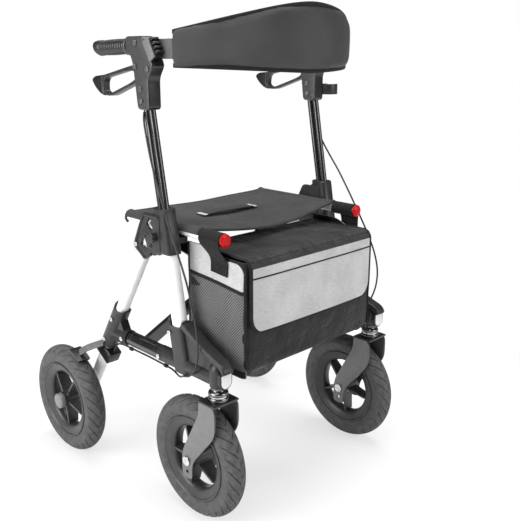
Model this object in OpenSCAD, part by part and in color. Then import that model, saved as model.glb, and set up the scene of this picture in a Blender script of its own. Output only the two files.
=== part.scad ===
// All terrain rollator: a folding walking frame on four large wheels, with a sling seat, a bag and a
// back band. +X is the walking direction, +Y the user's left, +Z up. The origin is on the floor, midway
// between the rear axles and the trailing caster axles. All lengths are millimetres.

/* [Stance] */
// Distance from the rear axle to the trailing caster axle
wheelbase = 420; // [400:1:440]
// Distance of a rear wheel's middle outboard of its side frame
wheel_outset = 55; // [52:1:60]
// Distance of a caster's swivel axis outboard of its side frame
caster_outset = 4; // [2:1:6]
// Horizontal distance from the swivel axis back to the caster axle
caster_trail = 64; // [58:1:68]

/* [Wheels] */
// Outer diameter of a tyre
wheel_d = 260; // [254:1:264]
// Width of a tyre at its widest
tyre_w = 48; // [44:1:50]
// Radius of the bead seat, where the tyre meets the rim
rim_r = 90; // [88:1:92]
// Radial thickness of the rim's ring
rim_t = 10; // [7:1:13]
// Width of the rim across the wheel
rim_w = 40; // [36:1:42]
// Number of spokes in a wheel
spoke_count = 5; // [4:1:6]
// Width of a spoke at the rim
spoke_w = 36; // [30:1:42]
// Thickness of a spoke's web
spoke_t = 8; // [6:1:12]
// Thickness of the rib along each edge of a spoke
rib_t = 5; // [4:1:7]
// Depth of a spoke's ribs across the wheel
rib_w = 28; // [22:1:32]
// Radius of a wheel's hub
wheel_hub_r = 20; // [17:1:22]
// Length of a wheel's hub
wheel_hub_w = 50; // [48:1:52]
// Radius of an axle
axle_r = 6; // [5:0.5:7]
// Radius of an axle's head
axle_head_r = 10; // [9:1:12]
// Thickness of an axle's head
axle_head_t = 5; // [4:1:7]

/* [Front leg and handle tubes] */
// Backward lean of the front legs and handle tubes, in degrees
post_lean = 10; // [8:0.5:12]
// Distance of the front leg's foot ahead of the origin, at the height of the lower tube
post_foot_x = 170; // [165:1:175]
// Play between the handle tubes and the front leg's wall, front and back
tube_play = 0.75; // [0.5:0.25:1.5]
// Thickness of the oval front leg, side to side
leg_t = 26; // [24:1:28]
// Wall of the front leg
leg_wall = 2; // [1:0.5:2.5]
// Diameter of a handle tube
tube_d = 14; // [13:0.5:14.5]
// Distance between the two handle tubes of a side
tube_pitch = 15.5; // [15:0.5:16]
// Wall of a handle tube
tube_wall = 1.5; // [1:0.25:2]
// Height of the handle tubes' lower ends
tube_foot_z = 485; // [475:1:500]

/* [Rear leg and lower tube] */
// Diameter of the rear leg
rear_leg_d = 28; // [26:1:30]
// Height of the rear leg's upper end
rear_leg_top_z = 596; // [588:1:600]
// Wall of the rear leg and the lower tube
pipe_wall = 2; // [1.5:0.5:3]
// Height of the lower tube's axis
lower_z = 320; // [312:1:326]
// Diameter of the lower tube
lower_d = 24; // [22:1:26]
// Gap between the rear casting's socket and the stop collar behind the brace sleeve
sleeve_gap = 7.5; // [4:0.5:11]
// Length of the brace sleeve
sleeve_len = 86; // [80:1:90]
// Wall of the brace sleeve
sleeve_wall = 4; // [3:0.5:5]
// Length of a stop collar beside the sleeve
collar_len = 10; // [8:1:11]
// Wall of a stop collar
collar_wall = 4; // [3:0.5:5]

/* [Hub] */
// Height of the hub's lower edge
hub_z = 540; // [534:1:544]
// Height of the hub, along the leg
hub_h = 96; // [92:1:100]
// Wall of the hub's socket
hub_wall = 4.5; // [4:0.5:6]
// Length of the guide that the handle tubes slide through
guide_len = 22; // [18:1:28]
// Thickness of a gusset cheek
cheek_t = 5; // [4:0.5:6]
// Width of the gusset, front to back
gusset_w = 92; // [88:1:96]
// Height of the gusset's lower tip
gusset_z = 524; // [520:1:528]
// Height of the gusset
gusset_h = 96; // [92:1:98]
// Width of the saddle that carries the seat rail, front to back
saddle_w = 34; // [28:1:40]
// Thickness of the saddle under the seat rail
saddle_t = 12; // [9:1:14]
// Radius of the clamp knob
knob_r = 9; // [8:1:11]
// Thickness of the clamp knob
knob_t = 12; // [10:1:15]
// Radius of the clamp knob's screw
knob_screw_r = 3; // [2.5:0.5:4]

/* [Front bracket and caster] */
// Thickness of the front and rear castings, side to side
cast_t = 34; // [33:1:38]
// Wall of a casting round a tube
cast_wall = 5; // [4:0.5:6]
// Height of the front casting's upper edge
front_cast_top_z = 414; // [408:1:420]
// Height of the caster head's lower face
head_z = 297; // [295:1:300]
// Height of the caster head
head_h = 48; // [44:1:52]
// Radius of the caster head
head_r = 17; // [16:1:18]
// Radius of the fork's stem
stem_r = 8; // [7:0.5:9]
// Depth of the recess in the front casting's face
recess_depth = 8; // [5:1:10]
// How far the casting's nose reaches ahead of the swivel axis
nose_len = 38; // [34:1:42]
// Height of the nose's upper edge
nose_z = 358; // [354:1:362]
// Height of the pale front cap
cap_h = 42; // [36:1:44]
// Width of the pale front cap
cap_w = 26; // [22:1:30]
// Thickness of the pale front cap
cap_t = 8; // [6:1:10]
// Distance between the fork's legs
fork_gap = 56; // [55:1:60]
// Thickness of the fork's plate
fork_t = 4; // [3:0.5:5]
// Length of the fork's top plate
fork_top_len = 48; // [44:1:58]
// Width of a fork leg at its foot
fork_foot_w = 28; // [26:1:32]
// Distance from the caster axle down to the spare axle hole
spare_drop = 24; // [22:1:26]
// Radius of the swivel bearing
bearing_r = 18; // [16:1:20]
// Height of the swivel bearing
bearing_h = 18; // [15:1:20]
// Radius of the spare axle hole
spare_hole_r = 4; // [3:0.5:5]

/* [Rear bracket and brake] */
// Height of the rear casting's lower edge
rear_cast_z = 286; // [280:1:292]
// Height of the rear casting's upper edge
rear_cast_top_z = 388; // [380:1:396]
// Length of the rear casting's socket, forward of the rear leg
rear_socket_len = 66; // [62:1:68]
// Thickness of the web under the rear casting's socket
rear_web_t = 20; // [16:1:24]
// How far the brake housing reaches ahead of the rear leg
brake_reach = 48; // [42:1:52]
// Height of the brake housing
brake_h = 42; // [38:1:46]
// Wall of the brake housing round the rear leg
brake_wall = 5; // [4:0.5:6]
// Gap between the brake shoe and the tyre
shoe_gap = 2; // [1.5:0.25:3]
// Where the brake shoe meets the tyre, in degrees above the axle's front
shoe_angle = 66; // [62:1:70]
// Thickness of the brake shoe
shoe_t = 8; // [6:1:10]
// Length of the brake shoe over the tyre
shoe_len = 26; // [20:1:30]
// Width of the brake shoe, across the tyre
shoe_w = 30; // [24:1:36]
// Thickness of the brake arm's strip
arm_t = 3; // [2.5:0.5:4]
// Width of the brake arm's strip
arm_w = 12; // [10:1:14]
// Radius of the brake arm's pivot
arm_pivot_r = 4; // [3.5:0.5:5]

/* [Cross brace and seat rails] */
// Height of the cross brace's middle bolt
cross_z = 430; // [425:1:440]
// Distance of a seat rail inboard of its side frame
rail_inset = 38; // [36:1:42]
// Height of a seat rail's axis
rail_z = 585; // [580:1:590]
// Diameter of a seat rail
rail_d = 22; // [20:1:24]
// Where a seat rail starts, at the back
rail_x = -66; // [-70:1:-60]
// Length of a seat rail
rail_len = 316; // [310:1:322]
// Diameter of a rail's end cap
rail_cap_d = 26; // [25:1:28]
// Thickness of a rail's end cap
rail_cap_t = 8; // [6:1:10]
// Width of a brace bar
bar_w = 26; // [22:1:28]
// Thickness of a brace bar, front to back
bar_t = 12; // [10:1:14]
// Gap between the two brace bars
bar_gap = 4; // [3:0.5:6]
// Radius of the cross brace's middle bolt
cross_bolt_r = 5; // [4:0.5:6]
// Length of a brace's rail clamp
rail_clamp_len = 60; // [50:1:66]
// Wall of a brace's rail clamp
rail_clamp_wall = 4; // [3:0.5:5]

/* [Handles] */
// Height of the handle bracket's lower edge
bracket_z = 821; // [816:1:826]
// Height of the handle bracket
bracket_h = 136; // [132:1:140]
// Width of the handle bracket, front to back
bracket_w = 86; // [84:1:90]
// Thickness of the handle bracket, side to side
bracket_t = 30; // [28:1:32]
// How far the handle tubes go into the bracket
tube_insert = 30; // [24:1:34]
// Diameter of a grip
grip_d = 33; // [30:1:35]
// Length of a grip
grip_len = 116; // [110:1:124]
// Number of ribs on a grip
grip_ribs = 9; // [6:1:12]
// Height of a grip's ribs
grip_rib_h = 1.2; // [0.8:0.1:1.6]
// Radius of the bar inside a grip
grip_core_r = 11; // [10:0.5:12]
// Thickness of a grip's closed end
grip_end_t = 6; // [5:0.5:8]
// Radius of the rounding at a grip's end
grip_end_r = 4; // [3:0.5:5]
// Downward slope of the grips, in degrees
grip_droop = 2; // [0:0.5:4]
// Length of the brake lever, from its pivot
lever_len = 174; // [166:1:180]
// Depth of the brake lever's loop
lever_drop = 59; // [54:1:62]
// Width of the brake lever, side to side
lever_w = 16; // [14:1:18]
// Radius of the brake lever's pivot
lever_pivot_r = 4; // [3:0.5:5]
// Length of the backrest release
release_len = 36; // [32:1:42]
// Width of the backrest release, side to side
release_w = 18; // [16:1:22]
// Thickness of the backrest release
release_t = 7; // [6:0.5:9]
// Number of ribs on the backrest release
release_ribs = 4; // [3:1:5]
// Inner radius of the stick clip
stick_r = 15; // [13:1:17]
// Wall of the stick clip
stick_wall = 4; // [3:0.5:5]
// Height of the stick clip
stick_h = 18; // [15:1:22]
// Length of the stick clip's arm
stick_arm = 8; // [6:1:12]
// Height of the stick clip above the bracket's lower edge
stick_lift = 16; // [10:1:24]
// Mouth of the stick clip, in degrees
stick_mouth = 110; // [90:5:130]

/* [Back band] */
// Distance of the back band's ends inboard of the side frames
band_inset = 8; // [4:1:11]
// Where the back band's ends lie, ahead of the origin
band_x = 150; // [146:1:156]
// How far the back band bows forward
band_bow = 138; // [125:1:150]
// How squarely the back band bows
band_power = 2.6; // [2.2:0.1:3.2]
// Thickness of the back band's padding
band_t = 20; // [16:1:24]
// Height of the back band's lower edge at its ends
band_low_z = 901; // [896:1:906]
// How far the back band's lower edge dips in the middle
band_dip = 11; // [6:1:14]
// Height of the back band at its ends
band_h = 65; // [60:1:70]
// How far the back band's upper edge rises in the middle
band_rise = 52; // [44:1:58]
// Thickness of the tongue that carries an end of the back band
tongue_t = 3; // [2:0.5:4]
// Height of the tongue that carries an end of the back band
tongue_h = 36; // [32:1:42]

/* [Seat and bag] */
// Length of the seat, front to back
seat_len = 247; // [235:1:248]
// Where the seat starts, at the back
seat_x = -60; // [-62:1:-56]
// Thickness of the seat's cloth, folded and hemmed
seat_t = 3; // [2:0.5:4]
// How far the seat sags in the middle
seat_sag = 20; // [14:1:28]
// Width of the bag, side to side
bag_w = 384; // [370:1:388]
// Distance from the bag's side to the front casting beside it
bag_gap = 27; // [20:1:36]
// Where the bag's back panel lies, ahead of the origin
bag_x = 138; // [134:1:142]
// Depth of the bag, front to back
bag_depth = 164; // [150:1:168]
// Height of the bag's floor
bag_z = 316; // [305:1:325]
// Height of the bag
bag_h = 232; // [220:1:236]
// Radius of the bag's upright edges
bag_edge_r = 12; // [8:1:20]
// Thickness of the bag's cloth and lining
bag_wall = 4; // [3:0.5:6]
// Thickness of the bag's flap
flap_t = 4; // [3:0.5:5]
// How far the flap hangs down the bag's front
flap_drop = 145; // [130:1:160]
// Radius of the flap's lower corners
flap_corner_r = 34; // [24:1:44]
// Distance of the flap's edges from the bag's sides
flap_inset = 10; // [9:1:14]
// Width of a bag strap
strap_w = 58; // [50:1:62]
// Thickness of a bag strap
strap_t = 2.5; // [2:0.25:3.5]
// How far a bag strap hangs down the bag's side
strap_drop = 74; // [60:1:90]

/* [Fasteners and cables] */
// Radius of a frame bolt's head
bolt_r = 5; // [4:0.5:6]
// Height of a frame bolt's head
bolt_h = 3; // [2:0.5:4]
// Radius of a hexagon socket
socket_r = 2.5; // [2:0.25:3]
// Diameter of a brake cable
cable_d = 4; // [3:0.5:4]

/* [Hidden] */
$fn = 48;

// Clearances
run_gap = 0.05;
seat_gap = 0.3;
clear_gap = 1;
over = 1;

// Colours
white_paint = "white";
black_plastic = [0.12, 0.12, 0.13];
grey_casting = [0.45, 0.45, 0.46];
black_gloss = [0.05, 0.05, 0.06];
rubber = [0.25, 0.25, 0.26];
steel = [0.75, 0.75, 0.77];
red_plastic = [0.85, 0.08, 0.08];
black_cloth = [0.14, 0.14, 0.15];
grey_cloth = [0.72, 0.73, 0.74];
pale_plastic = [0.9, 0.9, 0.88];

// Places worked out from the driving sizes
function unit(v) = v / norm(v);
wheel_r = wheel_d / 2;
leg_w = tube_pitch + tube_d + 2 * (tube_play + leg_wall);
side_y = bag_w / 2 + bag_gap + cast_t / 2;
rail_y = side_y - rail_inset;
band_y = side_y - band_inset;
rear_axle_x = -wheelbase / 2;
swivel_x = wheelbase / 2 + caster_trail;
function post_x(z) = post_foot_x - (z - lower_z) * tan(post_lean);
rear_leg_top_x = post_x(rear_leg_top_z) - leg_w / 2 - rear_leg_d / 2 - cheek_t;
rear_leg_slope = (rear_leg_top_x - rear_axle_x) / (rear_leg_top_z - wheel_r);
rear_leg_lean = atan(rear_leg_slope);
function rear_leg_x(z) = rear_axle_x + (z - wheel_r) * rear_leg_slope;
rear_leg_half = rear_leg_d / 2 / cos(rear_leg_lean);
sleeve_x = rear_leg_x(lower_z) + rear_socket_len + sleeve_gap + collar_len + seat_gap;
leg_foot_z = lower_z + lower_d / 2 + cast_wall;
hub_mid_x = post_x(hub_z + hub_h / 2);
hub_half_t = leg_t / 2 + seat_gap + hub_wall;
cheek_y = rear_leg_d / 2 + seat_gap;
cheek_face_y = cheek_y + cheek_t;
cast_half_t = cast_t / 2;
rail_r = rail_d / 2;

// A side's own frame has +Y outboard; s is -1 on the right and 1 on the left
module on_side(s) {
    translate([0, s * side_y, 0]) mirror([0, s < 0 ? 1 : 0, 0]) children();
}

module on_post(z) {
    translate([post_x(z), 0, z]) rotate([0, -post_lean, 0]) children();
}

module on_rear_leg(z) {
    translate([rear_leg_x(z), 0, z]) rotate([0, rear_leg_lean, 0]) children();
}

module oval(w, t) {
    square([w - t, t], center = true);
    for (s = [-1, 1]) translate([s * (w - t) / 2, 0]) circle(d = t);
}

module rod_y(r, len) {
    rotate([90, 0, 0]) cylinder(r = r, h = len, center = true);
}

module rod_y_span(r, from_y, to_y) {
    translate([0, to_y, 0]) rotate([90, 0, 0]) cylinder(r = r, h = to_y - from_y);
}

module rod_x(r, len) {
    rotate([0, 90, 0]) cylinder(r = r, h = len);
}

// An outline in the plane of the side frame, given as [x, z], thickened along Y from one place to another
module slab_y(from_y, to_y) {
    translate([0, to_y, 0]) rotate([90, 0, 0]) linear_extrude(to_y - from_y) children();
}

// An outline across the part, given as [y, z], thickened along X
module slab_x(from_x, to_x) {
    translate([from_x, 0, 0]) rotate([90, 0, 90]) linear_extrude(to_x - from_x) children();
}

module tube_pair(d, len) {
    for (s = [-1, 1]) translate([s * tube_pitch / 2, 0, 0]) cylinder(d = d, h = len);
}

// A bolt head with a hexagon socket, standing along +Y on the plane of its seat
module bolt_head(r, h) {
    difference() {
        rod_y_span(r, 0, h);
        translate([0, h / 2, 0]) rotate([-90, 30, 0]) cylinder(r = socket_r, h = h, $fn = 6);
    }
}

// Wheels, with the axle along Y through the origin
tyre_ring_r = wheel_r - tyre_w / 2;
spoke_waist_share = 0.55;
rim_groove_share = 0.4;

module tyre() {
    color(rubber) rotate([90, 0, 0]) rotate_extrude($fn = 96) difference() {
        translate([tyre_ring_r, 0]) circle(d = tyre_w);
        translate([0, -tyre_w]) square([rim_r, 2 * tyre_w]);
    }
}

module spoke() {
    root = wheel_hub_r - rib_t;
    tip = rim_r - rim_t / 2;
    root_half = spoke_w * spoke_waist_share / 2;
    tip_half = spoke_w / 2;
    slab_y(-spoke_t / 2, spoke_t / 2)
        polygon([[root, -root_half], [tip, -tip_half], [tip, tip_half], [root, root_half]]);
    for (s = [-1, 1]) slab_y(-rib_w / 2, rib_w / 2) polygon([
        [root, s * root_half], [tip, s * tip_half],
        [tip, s * (tip_half - rib_t)], [root, s * (root_half - rib_t)]
    ]);
}

module wheel() {
    color(black_plastic) difference() {
        union() {
            rotate([90, 0, 0]) rotate_extrude($fn = 96) difference() {
                translate([rim_r - rim_t, -rim_w / 2]) square([rim_t - seat_gap, rim_w]);
                translate([rim_r, 0]) circle(d = rim_t * rim_groove_share);
            }
            rod_y(wheel_hub_r, wheel_hub_w);
            for (i = [0 : spoke_count - 1]) rotate([0, i * 360 / spoke_count, 0]) spoke();
        }
        rod_y(axle_r + run_gap, wheel_hub_w + 2 * over);
    }
}

module at_rear_wheel() {
    translate([rear_axle_x, wheel_outset, wheel_r]) children();
}

module at_caster_wheel() {
    translate([swivel_x - caster_trail, caster_outset, wheel_r]) children();
}

// Side frame
module front_leg() {
    len = (hub_z + hub_h - guide_len - leg_foot_z) / cos(post_lean);
    color(white_paint) on_post(leg_foot_z) linear_extrude(len) difference() {
        oval(leg_w, leg_t);
        oval(leg_w - 2 * leg_wall, leg_t - 2 * leg_wall);
    }
}

module rear_leg() {
    eye_r = rear_leg_d / 2 + pipe_wall;
    len = (rear_leg_top_z - wheel_r) / cos(rear_leg_lean);
    color(white_paint) difference() {
        union() {
            on_rear_leg(wheel_r) cylinder(d = rear_leg_d, h = len);
            translate([rear_axle_x, 0, wheel_r]) rod_y(eye_r, rear_leg_d - 2 * pipe_wall);
        }
        on_rear_leg(wheel_r) translate([0, 0, eye_r + pipe_wall])
            cylinder(d = rear_leg_d - 2 * pipe_wall, h = len);
        translate([rear_axle_x, 0, wheel_r]) rod_y(axle_r + seat_gap, rear_leg_d + 2 * over);
    }
}

// Gusset outline, windows and bolt, as shares of the gusset's width and height from the leg's axis
gusset_shares = [[-0.47, 1], [0, 1], [0, 0.1], [-0.57, 0], [-0.96, 0.25], [-0.96, 0.34]];
window_shares = [
    [[-0.37, 0.88], [-0.42, 0.74], [-0.22, 0.58]],
    [[-0.62, 0.46], [-0.68, 0.22], [-0.48, 0.12]],
    [[-0.52, 0.62], [-0.58, 0.52], [-0.34, 0.40]]
];
gusset_bolt_share = [-0.85, 0.29];
knob_share = [-0.15, 0.55];
function on_gusset(p) = [hub_mid_x + p[0] * gusset_w, gusset_z + p[1] * gusset_h];
gusset_bolt = on_gusset(gusset_bolt_share);
knob_place = on_gusset(knob_share);
knob_bite_share = 1.2;

module hub() {
    half = hub_h / cos(post_lean);
    bore = (hub_h - guide_len) / cos(post_lean);
    leg_cut_z = gusset_z - gusset_h / 2;
    leg_cut = (rear_leg_top_z - leg_cut_z) / cos(rear_leg_lean) + clear_gap;
    color(black_plastic) difference() {
        union() {
            on_post(hub_z) linear_extrude(half) oval(leg_w + 2 * (seat_gap + hub_wall), 2 * hub_half_t);
            for (y = [-cheek_face_y, cheek_y]) slab_y(y, y + cheek_t)
                polygon([for (p = gusset_shares) on_gusset(p)]);
            translate([hub_mid_x - saddle_w / 2, -rail_inset - rail_r, rail_z - rail_r - saddle_t])
                cube([saddle_w, rail_inset + rail_r, saddle_t + rail_r / 2]);
        }
        for (w = window_shares) slab_y(-cheek_face_y - over, cheek_face_y + over)
            polygon([for (p = w) on_gusset(p)]);
        on_post(hub_z) translate([0, 0, -half]) linear_extrude(half + bore)
            oval(leg_w + 2 * seat_gap, leg_t + 2 * seat_gap);
        on_post(hub_z) tube_pair(tube_d + 2 * run_gap, half + over);
        on_rear_leg(leg_cut_z) cylinder(d = rear_leg_d + 2 * seat_gap, h = leg_cut);
        translate([rail_x, -rail_inset, rail_z]) rod_x(rail_r + seat_gap, rail_len);
        translate([knob_place[0], 0, knob_place[1]])
            rod_y_span(knob_screw_r + run_gap, cheek_face_y - cheek_t + clear_gap, cheek_face_y + over);
    }
}

module clamp_knob() {
    color(black_gloss) translate([knob_place[0], 0, knob_place[1]]) {
        difference() {
            rod_y_span(knob_r, cheek_face_y + seat_gap, cheek_face_y + seat_gap + knob_t);
            for (i = [0 : 2]) rotate([0, i * 120, 0]) translate([knob_r * knob_bite_share, 0, 0])
                rod_y_span(knob_r / 2, cheek_face_y, cheek_face_y + 2 * knob_t);
        }
        rod_y_span(knob_screw_r, cheek_face_y - cheek_t + 2 * clear_gap, cheek_face_y + knob_t / 2);
    }
}

lower_start = rear_leg_x(lower_z + lower_d / 2) + rear_leg_half + clear_gap;
lower_stop = post_foot_x - lower_d;
collar_r = lower_d / 2 + collar_wall;
module lower_tube() {
    collars = [sleeve_x - seat_gap - collar_len, sleeve_x + sleeve_len + seat_gap];
    color(black_gloss) difference() {
        union() {
            translate([lower_start, 0, lower_z]) rod_x(lower_d / 2, lower_stop - lower_start);
            for (x = collars) translate([x, 0, lower_z]) rod_x(collar_r, collar_len);
        }
        translate([lower_start - over, 0, lower_z])
            rod_x(lower_d / 2 - pipe_wall, lower_stop - lower_start + 2 * over);
    }
}

// Front casting: leg socket, boom and caster head in one, with a three-cornered recess
boom_r = lower_d / 2 + cast_wall;
front_cast_w = leg_w + 2 * (seat_gap + cast_wall);
front_socket_x = sleeve_x + sleeve_len + collar_len + clear_gap;
front_cast_x = post_x(front_cast_top_z);
recess_x = swivel_x - head_r - cast_wall;
scallop_share = 0.42;
scallop_rise_share = 0.17;

module front_bracket() {
    bore = (front_cast_top_z - leg_foot_z) / cos(post_lean) + front_cast_w;
    color(black_plastic) difference() {
        union() {
            slab_y(-cast_half_t, cast_half_t) polygon([
                [front_cast_x - front_cast_w / 2, front_cast_top_z - cast_wall],
                [front_cast_x + front_cast_w / 2, front_cast_top_z],
                [swivel_x + nose_len, nose_z], [swivel_x + nose_len - cast_wall, nose_z - 2 * cast_wall],
                [swivel_x + head_r, head_z + head_h - cast_wall], [swivel_x - head_r, head_z + cast_wall],
                [post_foot_x, lower_z - boom_r], [post_foot_x - front_cast_w / 2, lower_z - boom_r]
            ]);
            translate([front_socket_x, 0, lower_z]) rod_x(boom_r, swivel_x - front_socket_x);
            translate([swivel_x, caster_outset, head_z]) cylinder(r = head_r, h = head_h);
        }
        for (y = [-cast_half_t - over, cast_half_t - recess_depth])
            slab_y(y, y + recess_depth + over) polygon([
                [front_cast_x + front_cast_w / 2, front_cast_top_z - 3 * cast_wall],
                [recess_x, lower_z + boom_r + 2 * cast_wall], [recess_x, lower_z + boom_r],
                [post_foot_x + front_cast_w / 2 - cast_wall, lower_z + boom_r]
            ]);
        on_post(leg_foot_z) linear_extrude(bore) oval(leg_w + 2 * seat_gap, leg_t + 2 * seat_gap);
        translate([front_socket_x - over, 0, lower_z])
            rod_x(lower_d / 2 + seat_gap, lower_stop - front_socket_x + over + seat_gap);
        translate([swivel_x, caster_outset, head_z - over]) cylinder(r = stem_r + run_gap, h = head_h);
        on_post(front_cast_top_z + front_cast_w * scallop_rise_share)
            rod_y(front_cast_w * scallop_share, cast_t + 2 * over);
    }
}

module front_cap() {
    color(pale_plastic) translate([swivel_x + head_r + seat_gap, caster_outset, head_z + cap_h / 2])
        rotate([0, 90, 0]) linear_extrude(cap_t) oval(cap_h, cap_w);
}

rear_cast_r = rear_leg_d / 2 + seat_gap + cast_wall;
module rear_bracket() {
    len = (rear_cast_top_z - rear_cast_z) / cos(rear_leg_lean);
    start = rear_leg_x(lower_z);
    color(black_plastic) difference() {
        union() {
            on_rear_leg(rear_cast_z) cylinder(r = rear_cast_r, h = len);
            translate([start, 0, lower_z]) rod_x(boom_r + seat_gap, rear_socket_len);
            slab_y(-rear_web_t / 2, rear_web_t / 2) polygon([
                [start, lower_z - boom_r], [start + rear_socket_len - cast_wall, lower_z - boom_r],
                [start + rear_socket_len - cast_wall, lower_z],
                [rear_leg_x(rear_cast_top_z - 2 * cast_wall), rear_cast_top_z - 4 * cast_wall]
            ]);
        }
        on_rear_leg(rear_cast_z - cast_t) cylinder(d = rear_leg_d + 2 * seat_gap, h = len + 2 * cast_t);
        translate([lower_start - seat_gap, 0, lower_z]) rod_x(lower_d / 2 + seat_gap, rear_socket_len);
        on_rear_leg(rear_cast_top_z + 2 * rear_cast_r * scallop_rise_share)
            rod_y(2 * rear_cast_r * scallop_share, 2 * rear_cast_r + 2 * over);
    }
}

// Bolts of a side frame, each as [x, outer face, z], and the rear axle with its spacer and heads
function frame_bolt_places() = [
    [front_cast_x - front_cast_w / 4, cast_half_t, front_cast_top_z - 6 * cast_wall],
    [front_socket_x + 2 * bolt_r, boom_r, lower_z],
    [rear_leg_x(rear_cast_top_z - 6 * cast_wall), rear_cast_r, rear_cast_top_z - 6 * cast_wall],
    [rear_leg_x(rear_cast_z + 3 * cast_wall), rear_cast_r, rear_cast_z + 3 * cast_wall],
    [rear_leg_x(lower_z) + rear_socket_len - 2 * bolt_r, boom_r + seat_gap, lower_z],
    [gusset_bolt[0], cheek_face_y, gusset_bolt[1]]
];
module frame_bolts() {
    hub_in = wheel_outset - wheel_hub_w / 2;
    hub_out = wheel_outset + wheel_hub_w / 2;
    leg_y = rear_leg_d / 2 + seat_gap;
    color(steel) {
        translate([rear_axle_x, 0, wheel_r]) {
            rod_y_span(axle_r, -leg_y - axle_head_t, hub_out + axle_head_t);
            rod_y_span(axle_head_r, -leg_y - axle_head_t, -leg_y);
            rod_y_span(axle_head_r, leg_y, hub_in - seat_gap);
            rod_y_span(axle_head_r, hub_out + seat_gap, hub_out + seat_gap + axle_head_t);
        }
        for (p = frame_bolt_places()) translate(p) bolt_head(bolt_r, bolt_h);
    }
}

// Brake: the housing clasps the rear leg under the casting, and the arm reaches out over the tyre
housing_z = rear_cast_z - (brake_h + clear_gap) * cos(rear_leg_lean);
housing_half_t = rear_leg_d / 2 + seat_gap + brake_wall;
arm_z = housing_z + brake_h / 2;
arm_place = [rear_leg_x(arm_z), arm_z];
shoe_mid_r = wheel_r + shoe_gap + shoe_t / 2;
shoe_place = [rear_axle_x + shoe_mid_r * cos(shoe_angle), wheel_r + shoe_mid_r * sin(shoe_angle)];

module brake_housing() {
    color(black_gloss) difference() {
        on_rear_leg(housing_z) translate([-housing_half_t, -housing_half_t, 0])
            cube([housing_half_t + brake_reach, 2 * housing_half_t, brake_h]);
        on_rear_leg(housing_z - over) cylinder(d = rear_leg_d + 2 * seat_gap, h = brake_h + 2 * over);
        translate([arm_place[0], 0, arm_place[1]])
            rod_y_span(
                arm_pivot_r + run_gap, housing_half_t - brake_wall + clear_gap, housing_half_t + over
            );
    }
}

module brake_arm() {
    dx = shoe_place[0] - arm_place[0];
    dz = shoe_place[1] - arm_place[1];
    arm_out_y = wheel_outset + arm_w / 2;
    color(grey_casting) {
        translate([arm_place[0], 0, arm_place[1]]) {
            rod_y_span(arm_pivot_r, housing_half_t - brake_wall + 2 * clear_gap, arm_out_y);
            rod_y_span(arm_pivot_r + arm_t, housing_half_t + seat_gap, arm_out_y);
            rotate([0, -atan2(dz, dx), 0])
                translate([0, wheel_outset - arm_w / 2, -arm_t / 2]) cube([norm([dx, dz]), arm_w, arm_t]);
        }
        translate([rear_axle_x, wheel_outset, wheel_r]) rotate([0, -shoe_angle, 0]) difference() {
            translate([wheel_r + shoe_gap, -shoe_w / 2, -shoe_len / 2]) cube([shoe_t, shoe_w, shoe_len]);
            rod_y(wheel_r + shoe_gap + clear_gap, shoe_w + 2 * over);
        }
    }
}

// Caster fork, with its swivel axis on the caster head's
fork_crown_z = head_z - seat_gap - bearing_h;
fork_leg_h = fork_crown_z - wheel_r;
fork_bend_shares = [0.62, 0.72];

module fork() {
    foot = fork_foot_w / 2;
    top = fork_top_len / 2;
    color(grey_casting) translate([swivel_x, caster_outset, wheel_r]) difference() {
        union() {
            translate([-top, -fork_gap / 2 - fork_t, fork_leg_h - fork_t])
                cube([fork_top_len, fork_gap + 2 * fork_t, fork_t]);
            translate([0, 0, fork_leg_h - fork_t]) cylinder(r = stem_r, h = bearing_h + head_h - cast_wall);
            for (y = [-fork_gap / 2 - fork_t, fork_gap / 2]) slab_y(y, y + fork_t) {
                polygon([
                    [-top, fork_leg_h], [top, fork_leg_h], [top, fork_leg_h * fork_bend_shares[1]],
                    [foot - caster_trail, 0], [foot - caster_trail, -spare_drop],
                    [-foot - caster_trail, -spare_drop], [-foot - caster_trail, 0],
                    [-top, fork_leg_h * fork_bend_shares[0]]
                ]);
                translate([-caster_trail, -spare_drop]) circle(r = foot);
            }
        }
        translate([-caster_trail, 0, 0]) rod_y(axle_r + seat_gap, fork_gap + 4 * fork_t);
        translate([-caster_trail, 0, -spare_drop]) rod_y(spare_hole_r, fork_gap + 4 * fork_t);
    }
}

module caster_hardware() {
    leg_out = fork_gap / 2 + fork_t + seat_gap;
    hub_out = wheel_hub_w / 2 + seat_gap;
    color(steel) {
        translate([swivel_x, caster_outset, fork_crown_z + seat_gap]) rotate_extrude() difference() {
            intersection() {
                translate([bearing_r - bearing_h / 2, bearing_h / 2]) circle(d = bearing_h);
                square([bearing_r, bearing_h - seat_gap]);
            }
            square([stem_r + seat_gap, bearing_h]);
        }
        at_caster_wheel() {
            rod_y(axle_r, 2 * (leg_out + bolt_h));
            for (s = [0, 180]) rotate([0, 0, s]) {
                translate([0, leg_out, 0]) bolt_head(axle_head_r, bolt_h);
                rod_y_span(axle_head_r, hub_out, fork_gap / 2 - seat_gap);
            }
        }
    }
}

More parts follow.
